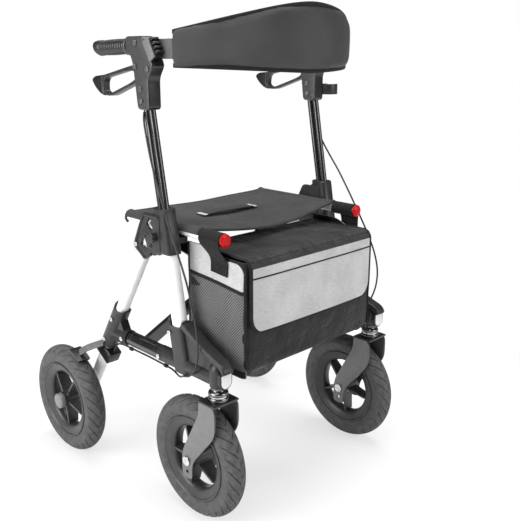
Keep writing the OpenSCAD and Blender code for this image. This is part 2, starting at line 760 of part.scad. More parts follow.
// Handles: outlines are shares of the bracket's width and height, from its foot on the tubes' axis
bracket_shares = [
    [-0.22, 0], [0.22, 0], [0.22, 0.43], [0.40, 0.60], [0.36, 0.67], [0.06, 1], [-0.60, 1], [-0.60, 0.74],
    [-0.44, 0.76], [-0.345, 0.62], [-0.29, 0.345]
];
bracket_bolt_shares = [[-0.19, 0.91], [0.22, 0.56], [-0.06, 0.29], [-0.045, 0.12]];
lever_pivot_share = [-0.23, 0.595];
grip_share = [-0.60, 0.872];
slant_shares = [[0.06, 1], [0.36, 0.67]];
function on_bracket(p) = [post_x(bracket_z) + p[0] * bracket_w, bracket_z + p[1] * bracket_h];
lever_pivot = on_bracket(lever_pivot_share);
grip_place = on_bracket(grip_share);
slant_top = on_bracket(slant_shares[0]);
slant_foot = on_bracket(slant_shares[1]);
slant_angle = atan2(slant_top[1] - slant_foot[1], slant_foot[0] - slant_top[0]);

// Lever outlines are shares of its length and depth, from its pivot
lever_shares = [
    [0.046, 0.12], [-0.264, -0.034], [-0.73, -0.288], [-0.966, -0.373], [-1, -0.508], [-0.81, -0.932],
    [-0.69, -1], [-0.575, -0.983], [-0.172, -0.627], [0.023, -0.44], [0.052, -0.136]
];
lever_hole_shares = [
    [-0.103, -0.136], [-0.264, -0.153], [-0.713, -0.39], [-0.753, -0.508], [-0.77, -0.814], [-0.69, -0.915],
    [-0.586, -0.88], [-0.184, -0.53], [-0.069, -0.39]
];
slot_shares = [[-0.75, -0.80], [0.075, 0.25]];
function on_lever(p) = [lever_pivot[0] + p[0] * lever_len, lever_pivot[1] + p[1] * lever_drop];
slot_low = on_lever(slot_shares[0]);
slot_high = on_lever(slot_shares[1]);
slot_half = lever_w / 2 + clear_gap;

module on_grip() {
    translate([grip_place[0] - seat_gap - grip_d / 2 * sin(grip_droop), 0, grip_place[1]])
        rotate([0, -90 - grip_droop, 0]) children();
}

module handle_tubes() {
    len = (bracket_z + tube_insert - tube_foot_z) / cos(post_lean);
    color(black_gloss) on_post(tube_foot_z) difference() {
        tube_pair(tube_d, len);
        translate([0, 0, -over]) tube_pair(tube_d - 2 * tube_wall, len + 2 * over);
    }
}

module handle_bracket() {
    half = bracket_t / 2;
    color(grey_casting) difference() {
        union() {
            slab_y(-half, half) polygon([for (p = bracket_shares) on_bracket(p)]);
            on_grip() translate([0, 0, -grip_core_r]) cylinder(r = grip_core_r, h = grip_len);
        }
        translate([slot_low[0], -slot_half, slot_low[1]])
            cube([slot_high[0] - slot_low[0], 2 * slot_half, slot_high[1] - slot_low[1]]);
        on_post(bracket_z) translate([0, 0, -tube_insert])
            tube_pair(tube_d + 2 * seat_gap, tube_insert + (tube_insert + seat_gap) / cos(post_lean));
        translate([lever_pivot[0], 0, lever_pivot[1]]) rod_y(lever_pivot_r + run_gap, bracket_t + 2 * over);
    }
}

module grip() {
    rib_pitch = grip_len / (grip_ribs + 2);
    color(rubber) on_grip() rotate_extrude() difference() {
        union() {
            translate([0, seat_gap]) square([grip_d / 2 - grip_rib_h, grip_len + grip_end_t - grip_end_r]);
            square([grip_d / 2 - grip_rib_h - grip_end_r, grip_len + grip_end_t + seat_gap]);
            translate([grip_d / 2 - grip_rib_h - grip_end_r, grip_len + grip_end_t + seat_gap - grip_end_r])
                circle(r = grip_end_r);
            for (i = [1 : grip_ribs]) translate([grip_d / 2 - 2 * grip_rib_h, i * rib_pitch])
                square([2 * grip_rib_h, rib_pitch / 2]);
        }
        translate([0, -over]) square([grip_core_r + seat_gap, grip_len + over + seat_gap]);
        translate([-grip_d, -grip_len]) square([grip_d, 3 * grip_len]);
    }
}

// Bolts of a handle and the flat tongue that carries the end of the back band
module handle_fittings() {
    half = bracket_t / 2;
    tongue_low = band_low_z + (band_h - tongue_h) / 2;
    slant = (slant_foot[0] - slant_top[0]) / (slant_top[1] - slant_foot[1]);
    low_x = slant_foot[0] + (slant_foot[1] - tongue_low) * slant + seat_gap;
    high_x = low_x - tongue_h * slant;
    end_slope = abs(band_dir(1)[1] / band_dir(1)[0]);
    tongue_x = band_x - seat_gap - tongue_t / 2 * end_slope;
    color(steel) {
        for (face = [0, 1], p = concat(bracket_bolt_shares, [lever_pivot_share]))
            mirror([0, face, 0]) translate([on_bracket(p)[0], half, on_bracket(p)[1]])
                bolt_head(bolt_r, bolt_h);
        slab_y(band_y - side_y - tongue_t / 2, band_y - side_y + tongue_t / 2) polygon([
            [low_x, tongue_low], [tongue_x, tongue_low],
            [tongue_x, tongue_low + tongue_h], [high_x, tongue_low + tongue_h]
        ]);
    }
}

module brake_lever() {
    color(grey_casting) {
        slab_y(-lever_w / 2, lever_w / 2) difference() {
            polygon([for (p = lever_shares) on_lever(p)]);
            polygon([for (p = lever_hole_shares) on_lever(p)]);
        }
        translate([lever_pivot[0], 0, lever_pivot[1]]) rod_y(lever_pivot_r, bracket_t - 2 * seat_gap);
    }
}

release_place_share = 0.5;
release_rib_share = 0.5;
module backrest_release() {
    face = norm([slant_foot[0] - slant_top[0], slant_foot[1] - slant_top[1]]);
    rib = release_len / (2 * release_ribs);
    low_y = band_y - side_y + tongue_t;
    color(black_plastic) translate([slant_top[0], low_y, slant_top[1]]) rotate([0, slant_angle, 0])
        translate([face * release_place_share - release_len / 2, 0, seat_gap]) {
            cube([release_len, release_w, release_t * release_rib_share]);
            for (i = [0 : release_ribs - 1])
                translate([2 * i * rib, 0, 0]) cube([rib, release_w, release_t]);
        }
}

// Stick clip on the outer face of the left handle, open outboard
stick_x = post_x(bracket_z) + stick_r - stick_wall;
stick_y = bracket_t / 2 + stick_arm + stick_wall + stick_r;
stick_z = bracket_z + stick_lift;
module stick_clip() {
    outer = stick_r + stick_wall;
    color(black_plastic) translate([stick_x, stick_y, stick_z]) difference() {
        union() {
            cylinder(r = outer, h = stick_h);
            translate([-stick_wall, -outer - stick_arm + seat_gap, 0])
                cube([2 * stick_wall, outer + stick_arm, stick_h]);
        }
        translate([0, 0, -over]) cylinder(r = stick_r, h = stick_h + 2 * over);
        translate([0, 0, -over]) linear_extrude(stick_h + 2 * over) polygon([
            [0, 0], [2 * outer * sin(stick_mouth / 2), 2 * outer * cos(stick_mouth / 2)],
            [-2 * outer * sin(stick_mouth / 2), 2 * outer * cos(stick_mouth / 2)]
        ]);
    }
}

// Cross brace: each brace turns on one side's lower tube and carries the other side's seat rail
sleeve_r = lower_d / 2 + run_gap + sleeve_wall;
bars_mid_x = sleeve_x + sleeve_len / 2;
bar_foot_z = rail_z - rail_r - rail_clamp_wall;

// A bar from a place to the middle bolt, running a little past it so that two bars lap there
module bar_from(place) {
    dy = -place[0];
    dz = cross_z - place[1];
    translate([0, place[0], place[1]]) rotate([atan2(dz, dy), 0, 0])
        translate([0, 0, -bar_w / 2]) cube([bar_t, norm([dy, dz]) + bar_w / 4, bar_w]);
}

// A brace whose sleeve is on the side s, with its bar starting at bar_x
module brace(s, bar_x) {
    clamp_r = rail_r + seat_gap + rail_clamp_wall;
    difference() {
        union() {
            translate([bar_x, 0, 0]) {
                bar_from([s * side_y, lower_z]);
                bar_from([-s * rail_y, bar_foot_z]);
            }
            translate([sleeve_x, s * side_y, lower_z]) rod_x(sleeve_r, sleeve_len);
            translate([bars_mid_x - rail_clamp_len / 2, -s * rail_y, rail_z]) rod_x(clamp_r, rail_clamp_len);
        }
        translate([sleeve_x - over, s * side_y, lower_z])
            rod_x(lower_d / 2 + run_gap, sleeve_len + 2 * over);
        translate([rail_x, -s * rail_y, rail_z]) rod_x(rail_r + seat_gap, rail_len);
        translate([bars_mid_x - rail_clamp_len, -s * rail_y - 2 * clamp_r, rail_z])
            cube([2 * rail_clamp_len, 4 * clamp_r, 2 * clamp_r]);
    }
}

module brace_a() {
    bar_x = bars_mid_x - bar_gap / 2 - bar_t;
    far_x = bars_mid_x + bar_gap / 2 + bar_t;
    color(black_gloss) {
        brace(-1, bar_x);
        translate([bar_x, 0, cross_z]) rod_x(cross_bolt_r, far_x + seat_gap + bolt_h - bar_x);
        translate([bar_x, 0, cross_z]) rod_x(bar_w / 4, bar_t + bar_gap - seat_gap);
        translate([far_x + seat_gap, 0, cross_z]) rod_x(bar_w / 4, bolt_h);
    }
}

module brace_b() {
    bar_x = bars_mid_x + bar_gap / 2;
    color(black_gloss) difference() {
        brace(1, bar_x);
        translate([bar_x - over, 0, cross_z]) rod_x(cross_bolt_r + run_gap, bar_t + 2 * over);
    }
}

module seat_rail(s) {
    color(white_paint) translate([rail_x, s * rail_y, rail_z]) difference() {
        rod_x(rail_r, rail_len);
        translate([-over, 0, 0]) rod_x(rail_r - pipe_wall, rail_len + 2 * over);
    }
}

module rail_cap(s) {
    plug_r = rail_r - pipe_wall - seat_gap;
    color(red_plastic) translate([rail_x + rail_len, s * rail_y, rail_z]) rotate([0, 90, 0])
        rotate_extrude() {
            translate([0, seat_gap]) square([rail_cap_d / 2, rail_cap_t / 2]);
            translate([0, -rail_d]) square([plug_r, rail_d + rail_cap_t]);
            intersection() {
                translate([0, seat_gap + rail_cap_t / 2]) square([rail_cap_d / 2, rail_cap_t]);
                translate([0, rail_cap_t - cap_dome_r]) circle(r = cap_dome_r);
            }
        }
}
cap_dome_r = (pow(rail_cap_d / 2, 2) + pow(rail_cap_t / 2, 2)) / rail_cap_t;

// Seat: a sling that wraps over both rails and sags between them
seat_steps = 24;
seat_slope = 2 * seat_sag / rail_y;
seat_end_z = rail_z + (rail_r + seat_gap) * sqrt(1 + pow(seat_slope, 2));
function sling_z(t) = seat_end_z - seat_sag * (1 - t * t);
module seat_sling() {
    wrap_r = rail_r + seat_gap;
    ts = [for (i = [-seat_steps : seat_steps]) i / seat_steps];
    low = [for (t = ts) [t * rail_y, sling_z(t)]];
    high = [for (i = [len(ts) - 1 : -1 : 0]) [ts[i] * rail_y, sling_z(ts[i]) + seat_t]];
    color(black_cloth) slab_x(seat_x, seat_x + seat_len) {
        polygon(concat(low, high));
        for (s = [-1, 1]) translate([s * rail_y, rail_z]) difference() {
            circle(r = wrap_r + seat_t);
            circle(r = wrap_r);
            translate([-2 * wrap_r, -2 * wrap_r]) square([4 * wrap_r, 2 * wrap_r]);
        }
    }
}

// Bag: a rounded tub hung from the rails by two straps, closed by a flap over its top and front
bag_front_x = bag_x + bag_depth;
bag_top_z = bag_z + bag_h;
module rounded(w, d, r) {
    translate([r, 0]) square([w - 2 * r, d]);
    translate([0, r]) square([w, d - 2 * r]);
    for (x = [r, w - r], y = [r, d - r]) translate([x, y]) circle(r = r);
}

module bag() {
    strap_r = rail_r + seat_gap;
    strap_x = rail_x + rail_len - strap_w - strap_t;
    color(black_cloth) {
        difference() {
            translate([bag_x, -bag_w / 2, bag_z]) linear_extrude(bag_h)
                rounded(bag_depth, bag_w, bag_edge_r);
            translate([bag_x + bag_wall, bag_wall - bag_w / 2, bag_z + bag_wall]) linear_extrude(bag_h)
                rounded(bag_depth - 2 * bag_wall, bag_w - 2 * bag_wall, bag_edge_r - bag_wall);
        }
        for (s = [-1, 1]) slab_x(strap_x, strap_x + strap_w) {
            difference() {
                translate([s * rail_y, rail_z]) circle(r = strap_r + strap_t);
                translate([s * rail_y, rail_z]) circle(r = strap_r);
                translate([s * rail_y - 2 * strap_r, rail_z - 2 * strap_r])
                    square([4 * strap_r, 2 * strap_r]);
            }
            polygon([
                [s * (rail_y + strap_r), rail_z], [s * (rail_y + strap_r + strap_t), rail_z],
                [s * (rail_y + strap_r + strap_t), rail_z - rail_r],
                [s * (bag_w / 2 + strap_t), rail_z - strap_drop],
                [s * (bag_w / 2 - strap_t), rail_z - strap_drop], [s * (rail_y + strap_r), rail_z - rail_r]
            ]);
        }
    }
}

module bag_flap() {
    half = bag_w / 2 - flap_inset;
    top = bag_top_z + seat_gap;
    front = bag_front_x + seat_gap;
    color(grey_cloth) {
        translate([bag_x, -half, top]) cube([front + flap_t - bag_x, 2 * half, flap_t]);
        slab_x(front, front + flap_t) translate([-half, top - flap_drop]) difference() {
            rounded(2 * half, flap_drop + 2 * flap_corner_r, flap_corner_r);
            translate([-over, flap_drop + flap_t]) square([2 * (half + over), 2 * flap_corner_r]);
        }
    }
}

// Back band: sections along its bow, each a pillow with a crowned front and back
band_steps = 20;
band_dip_power = 1.2;
band_rise_power = 1.7;
slope_step_share = 0.01;
band_ring_shares = [
    [-0.28, 0], [0.28, 0], [0.47, 0.1], [0.5, 0.5], [0.47, 0.9], [0.28, 1], [-0.28, 1], [-0.47, 0.9],
    [-0.5, 0.5], [-0.47, 0.1]
];
function band_at(t) = [band_x + band_bow * (1 - pow(abs(t), band_power)), t * band_y];
function band_low(t) = band_low_z - band_dip * (1 - pow(abs(t), band_dip_power));
function band_high(t) = band_low_z + band_h + band_rise * (1 - pow(abs(t), band_rise_power));
function band_dir(t) = let (e = slope_step_share)
    unit(band_at(min(t + e, 1)) - band_at(max(t - e, -1)));
function band_ring(t) = let (c = band_at(t), d = band_dir(t), z = band_low(t), h = band_high(t) - z) [
    for (p = band_ring_shares) [c[0] + d[1] * p[0] * band_t, c[1] - d[0] * p[0] * band_t, z + p[1] * h]
];

// A closed skin over equal rings, each ring a loop of points
module skin(rings) {
    n = len(rings[0]);
    m = len(rings);
    points = [for (r = rings) each r];
    sides = [for (i = [0 : m - 2], j = [0 : n - 1]) let (k = (j + 1) % n)
        each [[i * n + j, i * n + k, (i + 1) * n + k], [i * n + j, (i + 1) * n + k, (i + 1) * n + j]]];
    last = (m - 1) * n;
    ends = [for (j = [1 : n - 2]) each [[0, j + 1, j], [last, last + j, last + j + 1]]];
    polyhedron(points, concat(sides, ends));
}

module backrest_pad() {
    color(black_cloth) skin([for (i = [-band_steps : band_steps]) band_ring(i / band_steps)]);
}

// Brake cables: routes in the side's own frame, from the handle bracket down to the brake housing
right_route = [
    [70, 9, 817], [74, 14, 800], [90, 22, 770], [105, 25, 732], [122, 25, 693], [140, 25, 656],
    [160, 25, 614], [180, 25, 572], [200, 25, 532], [213, 24, 498], [222, 23, 463], [231, 22, 425],
    [236, 22, 388], [234, 22, 355], [222, 22, 324], [205, 20, 298], [184, 12, 291], [160, 4, 291],
    [125, 2, 294], [85, 2, 296], [45, 2, 297], [5, 2, 297], [-25, 2, 297], [-45, 2, 295], [-60, 2, 287],
    [-70, 2, 276], [-77.6, 2, 264.4]
];
left_route = [
    [70, 9, 817], [66, 15, 800], [74, 21, 765], [93, 24, 726], [118, 25, 692], [146, 25, 658],
    [172, 25, 622], [196, 25, 587], [220, 25, 551], [243, 25, 514], [262, 25, 476], [273, 24, 438],
    [272, 23, 400], [260, 22, 364], [240, 22, 330], [215, 20, 300], [188, 13, 291], [160, 4, 291],
    [125, 2, 294], [85, 2, 296], [45, 2, 297], [5, 2, 297], [-25, 2, 297], [-45, 2, 295], [-60, 2, 287],
    [-70, 2, 276], [-77.6, 2, 264.4]
];
cable_sides = 8;
cable_splits = 3;
// A direction that no stretch of a cable runs along, from which its rings are turned
cable_turn_shares = [0, 1, 0.2];
function clamp_index(i, n) = max(0, min(n - 1, i));
function smooth_at(p, i, u) = let (
    a = p[clamp_index(i - 1, len(p))], b = p[i], c = p[clamp_index(i + 1, len(p))],
    d = p[clamp_index(i + 2, len(p))]
) (2 * b + (c - a) * u + (2 * a - 5 * b + 4 * c - d) * u * u + (3 * b - a - 3 * c + d) * u * u * u) / 2;
function smooth(p) = concat(
    [for (i = [0 : len(p) - 2], k = [0 : cable_splits - 1]) smooth_at(p, i, k / cable_splits)],
    [p[len(p) - 1]]
);
function cable_ring(p, i) = let (
    d = unit(p[clamp_index(i + 1, len(p))] - p[clamp_index(i - 1, len(p))]),
    a = unit(cross(d, cable_turn_shares)),
    b = cross(d, a)
) [for (j = [0 : cable_sides - 1]) let (w = j * 360 / cable_sides)
    p[i] + (a * cos(w) + b * sin(w)) * cable_d / 2];

module brake_cable(route) {
    path = smooth(route);
    color(black_gloss) skin([for (i = [0 : len(path) - 1]) cable_ring(path, i)]);
}

// The nodes
sides = [["right", -1], ["left", 1]];
for (side = sides) {
    name = side[0];
    s = side[1];
    on_side(s) front_leg();
    on_side(s) rear_leg();
    on_side(s) hub();
    on_side(s) rear_bracket();
    on_side(s) front_bracket();
    on_side(s) lower_tube();
    on_side(s) front_cap();
    on_side(s) frame_bolts();
    on_side(s) brake_housing();
    on_side(s) brake_cable(s < 0 ? right_route : left_route);
    on_side(s) clamp_knob();
    on_side(s) at_rear_wheel() tyre();
    on_side(s) at_rear_wheel() wheel();
    on_side(s) fork();
    on_side(s) caster_hardware();
    on_side(s) at_caster_wheel() tyre();
    on_side(s) at_caster_wheel() wheel();
    on_side(s) handle_tubes();
    on_side(s) handle_bracket();
    on_side(s) grip();
    on_side(s) handle_fittings();
    on_side(s) brake_lever();
    on_side(s) backrest_release();
    on_side(s) brake_arm();
    seat_rail(s);
    rail_cap(s);
}
on_side(1) stick_clip();
brace_a();
brace_b();
seat_sling();
bag();
bag_flap();
backrest_pad();
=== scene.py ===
"""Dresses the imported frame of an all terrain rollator: finishes, tyres, soft goods, cables and studio."""

import enum
import logging
import math
from dataclasses import dataclass
from typing import Callable, Mapping, Sequence

import bmesh
import bpy
from mathutils import Matrix, Vector


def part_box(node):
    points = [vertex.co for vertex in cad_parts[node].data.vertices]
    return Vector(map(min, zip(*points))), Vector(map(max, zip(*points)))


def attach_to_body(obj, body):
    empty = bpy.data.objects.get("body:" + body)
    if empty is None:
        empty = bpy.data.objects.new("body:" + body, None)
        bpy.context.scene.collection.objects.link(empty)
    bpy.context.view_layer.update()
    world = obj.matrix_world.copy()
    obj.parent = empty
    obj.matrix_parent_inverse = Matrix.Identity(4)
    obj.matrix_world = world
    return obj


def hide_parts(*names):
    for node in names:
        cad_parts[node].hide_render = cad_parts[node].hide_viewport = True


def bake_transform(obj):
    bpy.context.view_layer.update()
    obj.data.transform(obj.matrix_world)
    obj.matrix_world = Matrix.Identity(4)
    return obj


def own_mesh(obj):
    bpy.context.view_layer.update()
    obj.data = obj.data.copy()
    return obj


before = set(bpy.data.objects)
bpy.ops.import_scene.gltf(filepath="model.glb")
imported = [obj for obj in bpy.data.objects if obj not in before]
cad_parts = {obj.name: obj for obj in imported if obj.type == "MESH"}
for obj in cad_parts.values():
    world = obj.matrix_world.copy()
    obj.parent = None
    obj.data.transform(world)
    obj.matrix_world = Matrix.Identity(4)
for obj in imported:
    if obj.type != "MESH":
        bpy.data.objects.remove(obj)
logger = logging.getLogger("rollator")

SHARP_ANGLE = math.radians(38)
WELD_DISTANCE = 0.00001
FULL_TURN = 2 * math.pi
FORWARD = Vector((1, 0, 0))
SIDEWAYS = Vector((0, 1, 0))
UPWARD = Vector((0, 0, 1))
CASTER_TRAIL = 0.064
POST_FOOT = (0.170, 0.320)
POST_LEAN = math.radians(10)
REAR_SPOKE_TURN = math.radians(127)
CORNER_SIGNS = ((1, 1), (-1, 1), (-1, -1), (1, -1))

Colour = tuple[float, float, float, float]
Point = tuple[float, float]
Spot = tuple[float, float, float]
Values = Sequence[float]
Outline = tuple[Point, ...]
Route = tuple[Spot, ...]
Net = Sequence[Sequence[Vector]]
Piece = bpy.types.Object
Setting = object


def grey(level: float) -> Colour:
    """Returns a linear grey from a share of display white."""
    linear = level / 12.92 if level <= 0.04045 else ((level + 0.055) / 1.055) ** 2.4
    return (linear, linear, linear, 1.0)


def middle(node: str) -> Vector:
    """Returns the centre of a node's box."""
    low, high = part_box(node)
    return (low + high) / 2


def ease(low: float, high: float, value: float) -> float:
    """Returns a smooth step of value from 0 at low to 1 at high."""
    share = min(max((value - low) / (high - low), 0.0), 1.0)
    return share * share * (3 - 2 * share)


def span(start: float, end: float, steps: int) -> list[float]:
    """Returns evenly spaced values from start to end, both included."""
    return [start + (end - start) * step / steps for step in range(steps + 1)]


def round_drop(radius: float, over: float) -> float:
    """Returns how far a round corner has fallen at a distance past its start."""
    return radius - math.sqrt(max(radius ** 2 - over ** 2, 0.0))


def post_x(z: float) -> float:
    """Returns where a front leg's axis is at a height."""
    return POST_FOOT[0] - (z - POST_FOOT[1]) * math.tan(POST_LEAN)


SIDE_Y = middle("left_front_leg").y


class Side(enum.Enum):
    """The two side frames, by the sign of their place along Y."""

    RIGHT = -1
    LEFT = 1

    def node(self, kind: str) -> str:
        """Returns the name of this side's node or body of a kind."""
        return f"{self.name.lower()}_{kind}"

    def place(self, x: float, out: float, z: float) -> Vector:
        """Returns a point of this side, out being measured outward from the side's own plane."""
        return Vector((x, self.value * (SIDE_Y + out), z))


CASTER_SPOKE_TURNS = {Side.RIGHT: math.radians(113), Side.LEFT: math.radians(133)}
RAIL_BODIES = {Side.RIGHT: "brace_b", Side.LEFT: "brace_a"}


class Weave(enum.Enum):
    """How a cloth's threads lie."""

    UPRIGHT = "upright"
    FLAT = "flat"


class Wire:
    """A shader socket that takes part in sums."""

    def __init__(self, graph: "Graph", socket: bpy.types.NodeSocket) -> None:
        """Keeps the graph and the output socket."""
        self.graph = graph
        self.socket = socket

    def is_vector(self) -> bool:
        """Returns whether the socket carries three numbers."""
        return self.socket.type in {"VECTOR", "RGBA"}

    def combine(self, operation: str, first: "Wire | float", second: "Wire | float" = 0.0) -> "Wire":
        """Makes one maths node.

        Args:
            operation: The node's operation.
            first: Left value.
            second: Right value.

        Returns:
            The result.
        """
        values = [first, second]
        if any(isinstance(value, Wire) and value.is_vector() for value in values):
            spread = [value if isinstance(value, Wire) else (value,) * 3 for value in values]
            return self.graph.node("ShaderNodeVectorMath", {"operation": operation}, dict(enumerate(spread)))
        return self.graph.node("ShaderNodeMath", {"operation": operation}, dict(enumerate(values)))

    def __add__(self, other: "Wire | float") -> "Wire":
        """Returns the sum."""
        return self.combine("ADD", self, other)

    def __radd__(self, other: float) -> "Wire":
        """Returns the sum."""
        return self.combine("ADD", other, self)

    def __sub__(self, other: "Wire | float") -> "Wire":
        """Returns the difference."""
        return self.combine("SUBTRACT", self, other)

    def __rsub__(self, other: float) -> "Wire":
        """Returns the difference."""
        return self.combine("SUBTRACT", other, self)

    def __mul__(self, other: "Wire | float") -> "Wire":
        """Returns the product."""
        return self.combine("MULTIPLY", self, other)

    def __rmul__(self, other: float) -> "Wire":
        """Returns the product."""
        return self.combine("MULTIPLY", other, self)

    def __pow__(self, other: float) -> "Wire":
        """Returns the power."""
        return self.combine("POWER", self, other)

    def sine(self) -> "Wire":
        """Returns the sine."""
        return self.combine("SINE", self)

    def size(self) -> "Wire":
        """Returns the value without its sign."""
        return self.combine("ABSOLUTE", self)

    def largest(self, other: "Wire | float") -> "Wire":
        """Returns the larger value."""
        return self.combine("MAXIMUM", self, other)

    def dot(self, other: "Wire") -> "Wire":
        """Returns the dot product of two vectors."""
        sockets = {0: self, 1: other}
        return self.graph.node("ShaderNodeVectorMath", {"operation": "DOT_PRODUCT"}, sockets, "Value")

    def within(self, low: float, high: float) -> "Wire":
        """Returns a smooth step from 0 at low to 1 at high."""
        sockets = {"Value": self, "From Min": low, "From Max": high}
        return self.graph.node("ShaderNodeMapRange", {"interpolation_type": "SMOOTHSTEP"}, sockets)

    def mix(self, first: "Wire | Colour", second: "Wire | Colour") -> "Wire":
        """Returns a colour between two, by this share."""
        return self.graph.node("ShaderNodeMix", {"data_type": "RGBA"}, {0: self, 6: first, 7: second}, 2)


class Graph:
    """The node tree of one material or world."""

    def __init__(self, owner: bpy.types.Material | bpy.types.World) -> None:
        """Empties the owner's tree."""
        owner.use_nodes = True
        self.tree = owner.node_tree
        self.tree.nodes.clear()

    def node(
        self,
        kind: str,
        settings: Mapping[str, Setting] | None = None,
        sockets: Mapping[str | int, Setting] | None = None,
        output: str | int = 0,
    ) -> Wire | None:
        """Makes one node.

        Args:
            kind: Node type.
            settings: Properties of the node, set first.
            sockets: Values or wires by input name or number.
            output: Output name or number.

        Returns:
            The chosen output, if the node has any.
        """
        made = self.tree.nodes.new(kind)
        for key, value in (settings or {}).items():
            setattr(made, key, value)
        for key, value in (sockets or {}).items():
            if isinstance(value, Wire):
                self.tree.links.new(value.socket, made.inputs[key])
            else:
                made.inputs[key].default_value = value
        return Wire(self, made.outputs[output]) if len(made.outputs) else None

    def place(self) -> Wire:
        """Returns the object's own coordinates, in metres."""
        return self.node("ShaderNodeTexCoord", output="Object")

    def axes(self, place: Wire) -> tuple[Wire, Wire, Wire]:
        """Returns the three coordinates of a place."""
        split = self.node("ShaderNodeSeparateXYZ", None, {0: place})
        return tuple(Wire(self, output) for output in split.socket.node.outputs)

    def noise(self, place: Wire, size: float, detail: float = 3.0) -> Wire:
        """Returns cloudy noise with lumps of about a size in metres."""
        return self.node("ShaderNodeTexNoise", None, {"Vector": place, "Scale": 1 / size, "Detail": detail})

    def bump(self, height: Wire, distance: float, normal: Wire | None = None) -> Wire:
        """Returns a normal that is tilted by a height map, over another normal where one is given."""
        under = {} if normal is None else {"Normal": normal}
        return self.node("ShaderNodeBump", None, {"Height": height, "Distance": distance, **under})

    def finish(self, sockets: Mapping[str, Setting]) -> None:
        """Ends the tree with a surface shader."""
        shader = self.node("ShaderNodeBsdfPrincipled", None, sockets)
        self.node("ShaderNodeOutputMaterial", None, {"Surface": shader})


@dataclass(frozen=True)
class HardFinish:
    """A paint, plastic, casting, rubber or metal with mottling, fine grain and soft edges whose colour
    lightens, partly as wear and partly as a painted highlight.
    """

    name: str
    colour: Colour
    roughness: float
    metallic: float = 0.0
    coat: float = 0.0
    shine: float = 0.5
    lump: float = 0.012
    mottle: float = 0.16
    grain: float = 0.0009
    depth: float = 0.00006
    # edge: how far sharp edges lighten in colour, partly wear and partly a painted highlight
    edge: float = 0.22
    edge_radius: float = 0.0011

    def material(self) -> bpy.types.Material:
        """Returns the finish as a material."""
        made = bpy.data.materials.new(self.name)
        graph = Graph(made)
        place = graph.place()
        lumps = graph.noise(place, self.lump)
        grain = graph.noise(place, self.grain, 2.0)
        soft = graph.node("ShaderNodeBevel", {"samples": 4}, {"Radius": self.edge_radius})
        plain = graph.node("ShaderNodeNewGeometry", output="Normal")
        # Lighter colour at sharp edges: partly edge wear, partly a painted highlight.
        edge_wear_and_highlight = (1.0 - soft.dot(plain)).within(0.02, 0.35) * (lumps * 0.6 + 0.5)
        channels = self.colour[:3]
        darker = tuple(channel * (1 - self.mottle) for channel in channels) + (1.0,)
        lighter = tuple(min(channel * (1 + self.mottle), 1.0) for channel in channels) + (1.0,)
        worn_and_lit_edge = tuple(channel + (1 - channel) * self.edge for channel in channels) + (1.0,)
        base = lumps.within(0.3, 0.7).mix(darker, lighter)
        graph.finish({
            "Base Color": edge_wear_and_highlight.mix(base, worn_and_lit_edge),
            "Roughness": lumps * 0.14 + (self.roughness - 0.07),
            "Metallic": self.metallic,
            "Specular IOR Level": self.shine,
            "Coat Weight": self.coat,
            "Coat Roughness": self.roughness / 2,
            "Normal": graph.bump(grain, self.depth, soft),
        })
        return made


@dataclass(frozen=True)
class ClothFinish:
    """A woven cloth with crossing threads, fading and creases."""

    name: str
    colour: Colour
    thread: Colour
    pitch: float = 0.0011
    depth: float = 0.00018
    roughness: float = 0.72
    sheen: float = 0.06
    shine: float = 0.16
    weave: Weave = Weave.UPRIGHT
    slub: float = 0.0
    crease: float = 0.0004
    crease_size: float = 0.03
    fading: float = 0.25

    def material(self) -> bpy.types.Material:
        """Returns the finish as a material."""
        made = bpy.data.materials.new(self.name)
        graph = Graph(made)
        place = graph.place()
        x, y, z = graph.axes(place)
        along, across = (x + y, z) if self.weave is Weave.UPRIGHT else (x, y)
        turn = FULL_TURN / self.pitch
        warp = (along * turn).sine()
        weft = (across * turn).sine()
        threads = (warp * weft) * 0.5 + 0.5
        streak = graph.node("ShaderNodeCombineXYZ", None, {0: along * 0.25, 1: across * 6.0})
        slubs = graph.noise(streak, self.pitch * 3, 4.0).within(0.35, 0.68)
        fade = graph.noise(place, self.crease_size * 2).within(0.3, 0.7)
        share = threads * (0.5 - 0.5 * self.slub) + slubs * self.slub + fade * self.fading
        creases = graph.noise(place, self.crease_size, 4.0)
        folded = graph.bump(creases, self.crease * 10)
        graph.finish({
            "Base Color": share.mix(self.colour, self.thread),
            "Roughness": fade * 0.2 + (self.roughness - 0.1),
            "Sheen Weight": self.sheen,
            "Specular IOR Level": self.shine,
            "Normal": graph.bump(threads, self.depth, folded),
        })
        return made


@dataclass(frozen=True)
class NetFinish:
    """A pocket net of slanting threads over a darker ground."""

    name: str
    ground: Colour
    thread: Colour
    pitch: float
    depth: float = 0.0006
    roughness: float = 0.7
    shine: float = 0.2

    def material(self) -> bpy.types.Material:
        """Returns the finish as a material."""
        made = bpy.data.materials.new(self.name)
        graph = Graph(made)
        x, y, z = graph.axes(graph.place())
        turn = math.pi / self.pitch
        rising = ((x + y + z) * turn).sine().size()
        falling = ((x + y - z) * turn).sine().size()
        threads = rising.within(0.72, 0.95).largest(falling.within(0.72, 0.95))
        fine = graph.noise(graph.place(), self.pitch / 6, 2.0)
        graph.finish({
            "Base Color": (threads * (fine * 0.5 + 0.7)).mix(self.ground, self.thread),
            "Roughness": self.roughness,
            "Specular IOR Level": self.shine,
            "Normal": graph.bump(threads + fine * 0.3, self.depth),
        })
        return made


Finish = HardFinish | ClothFinish | NetFinish

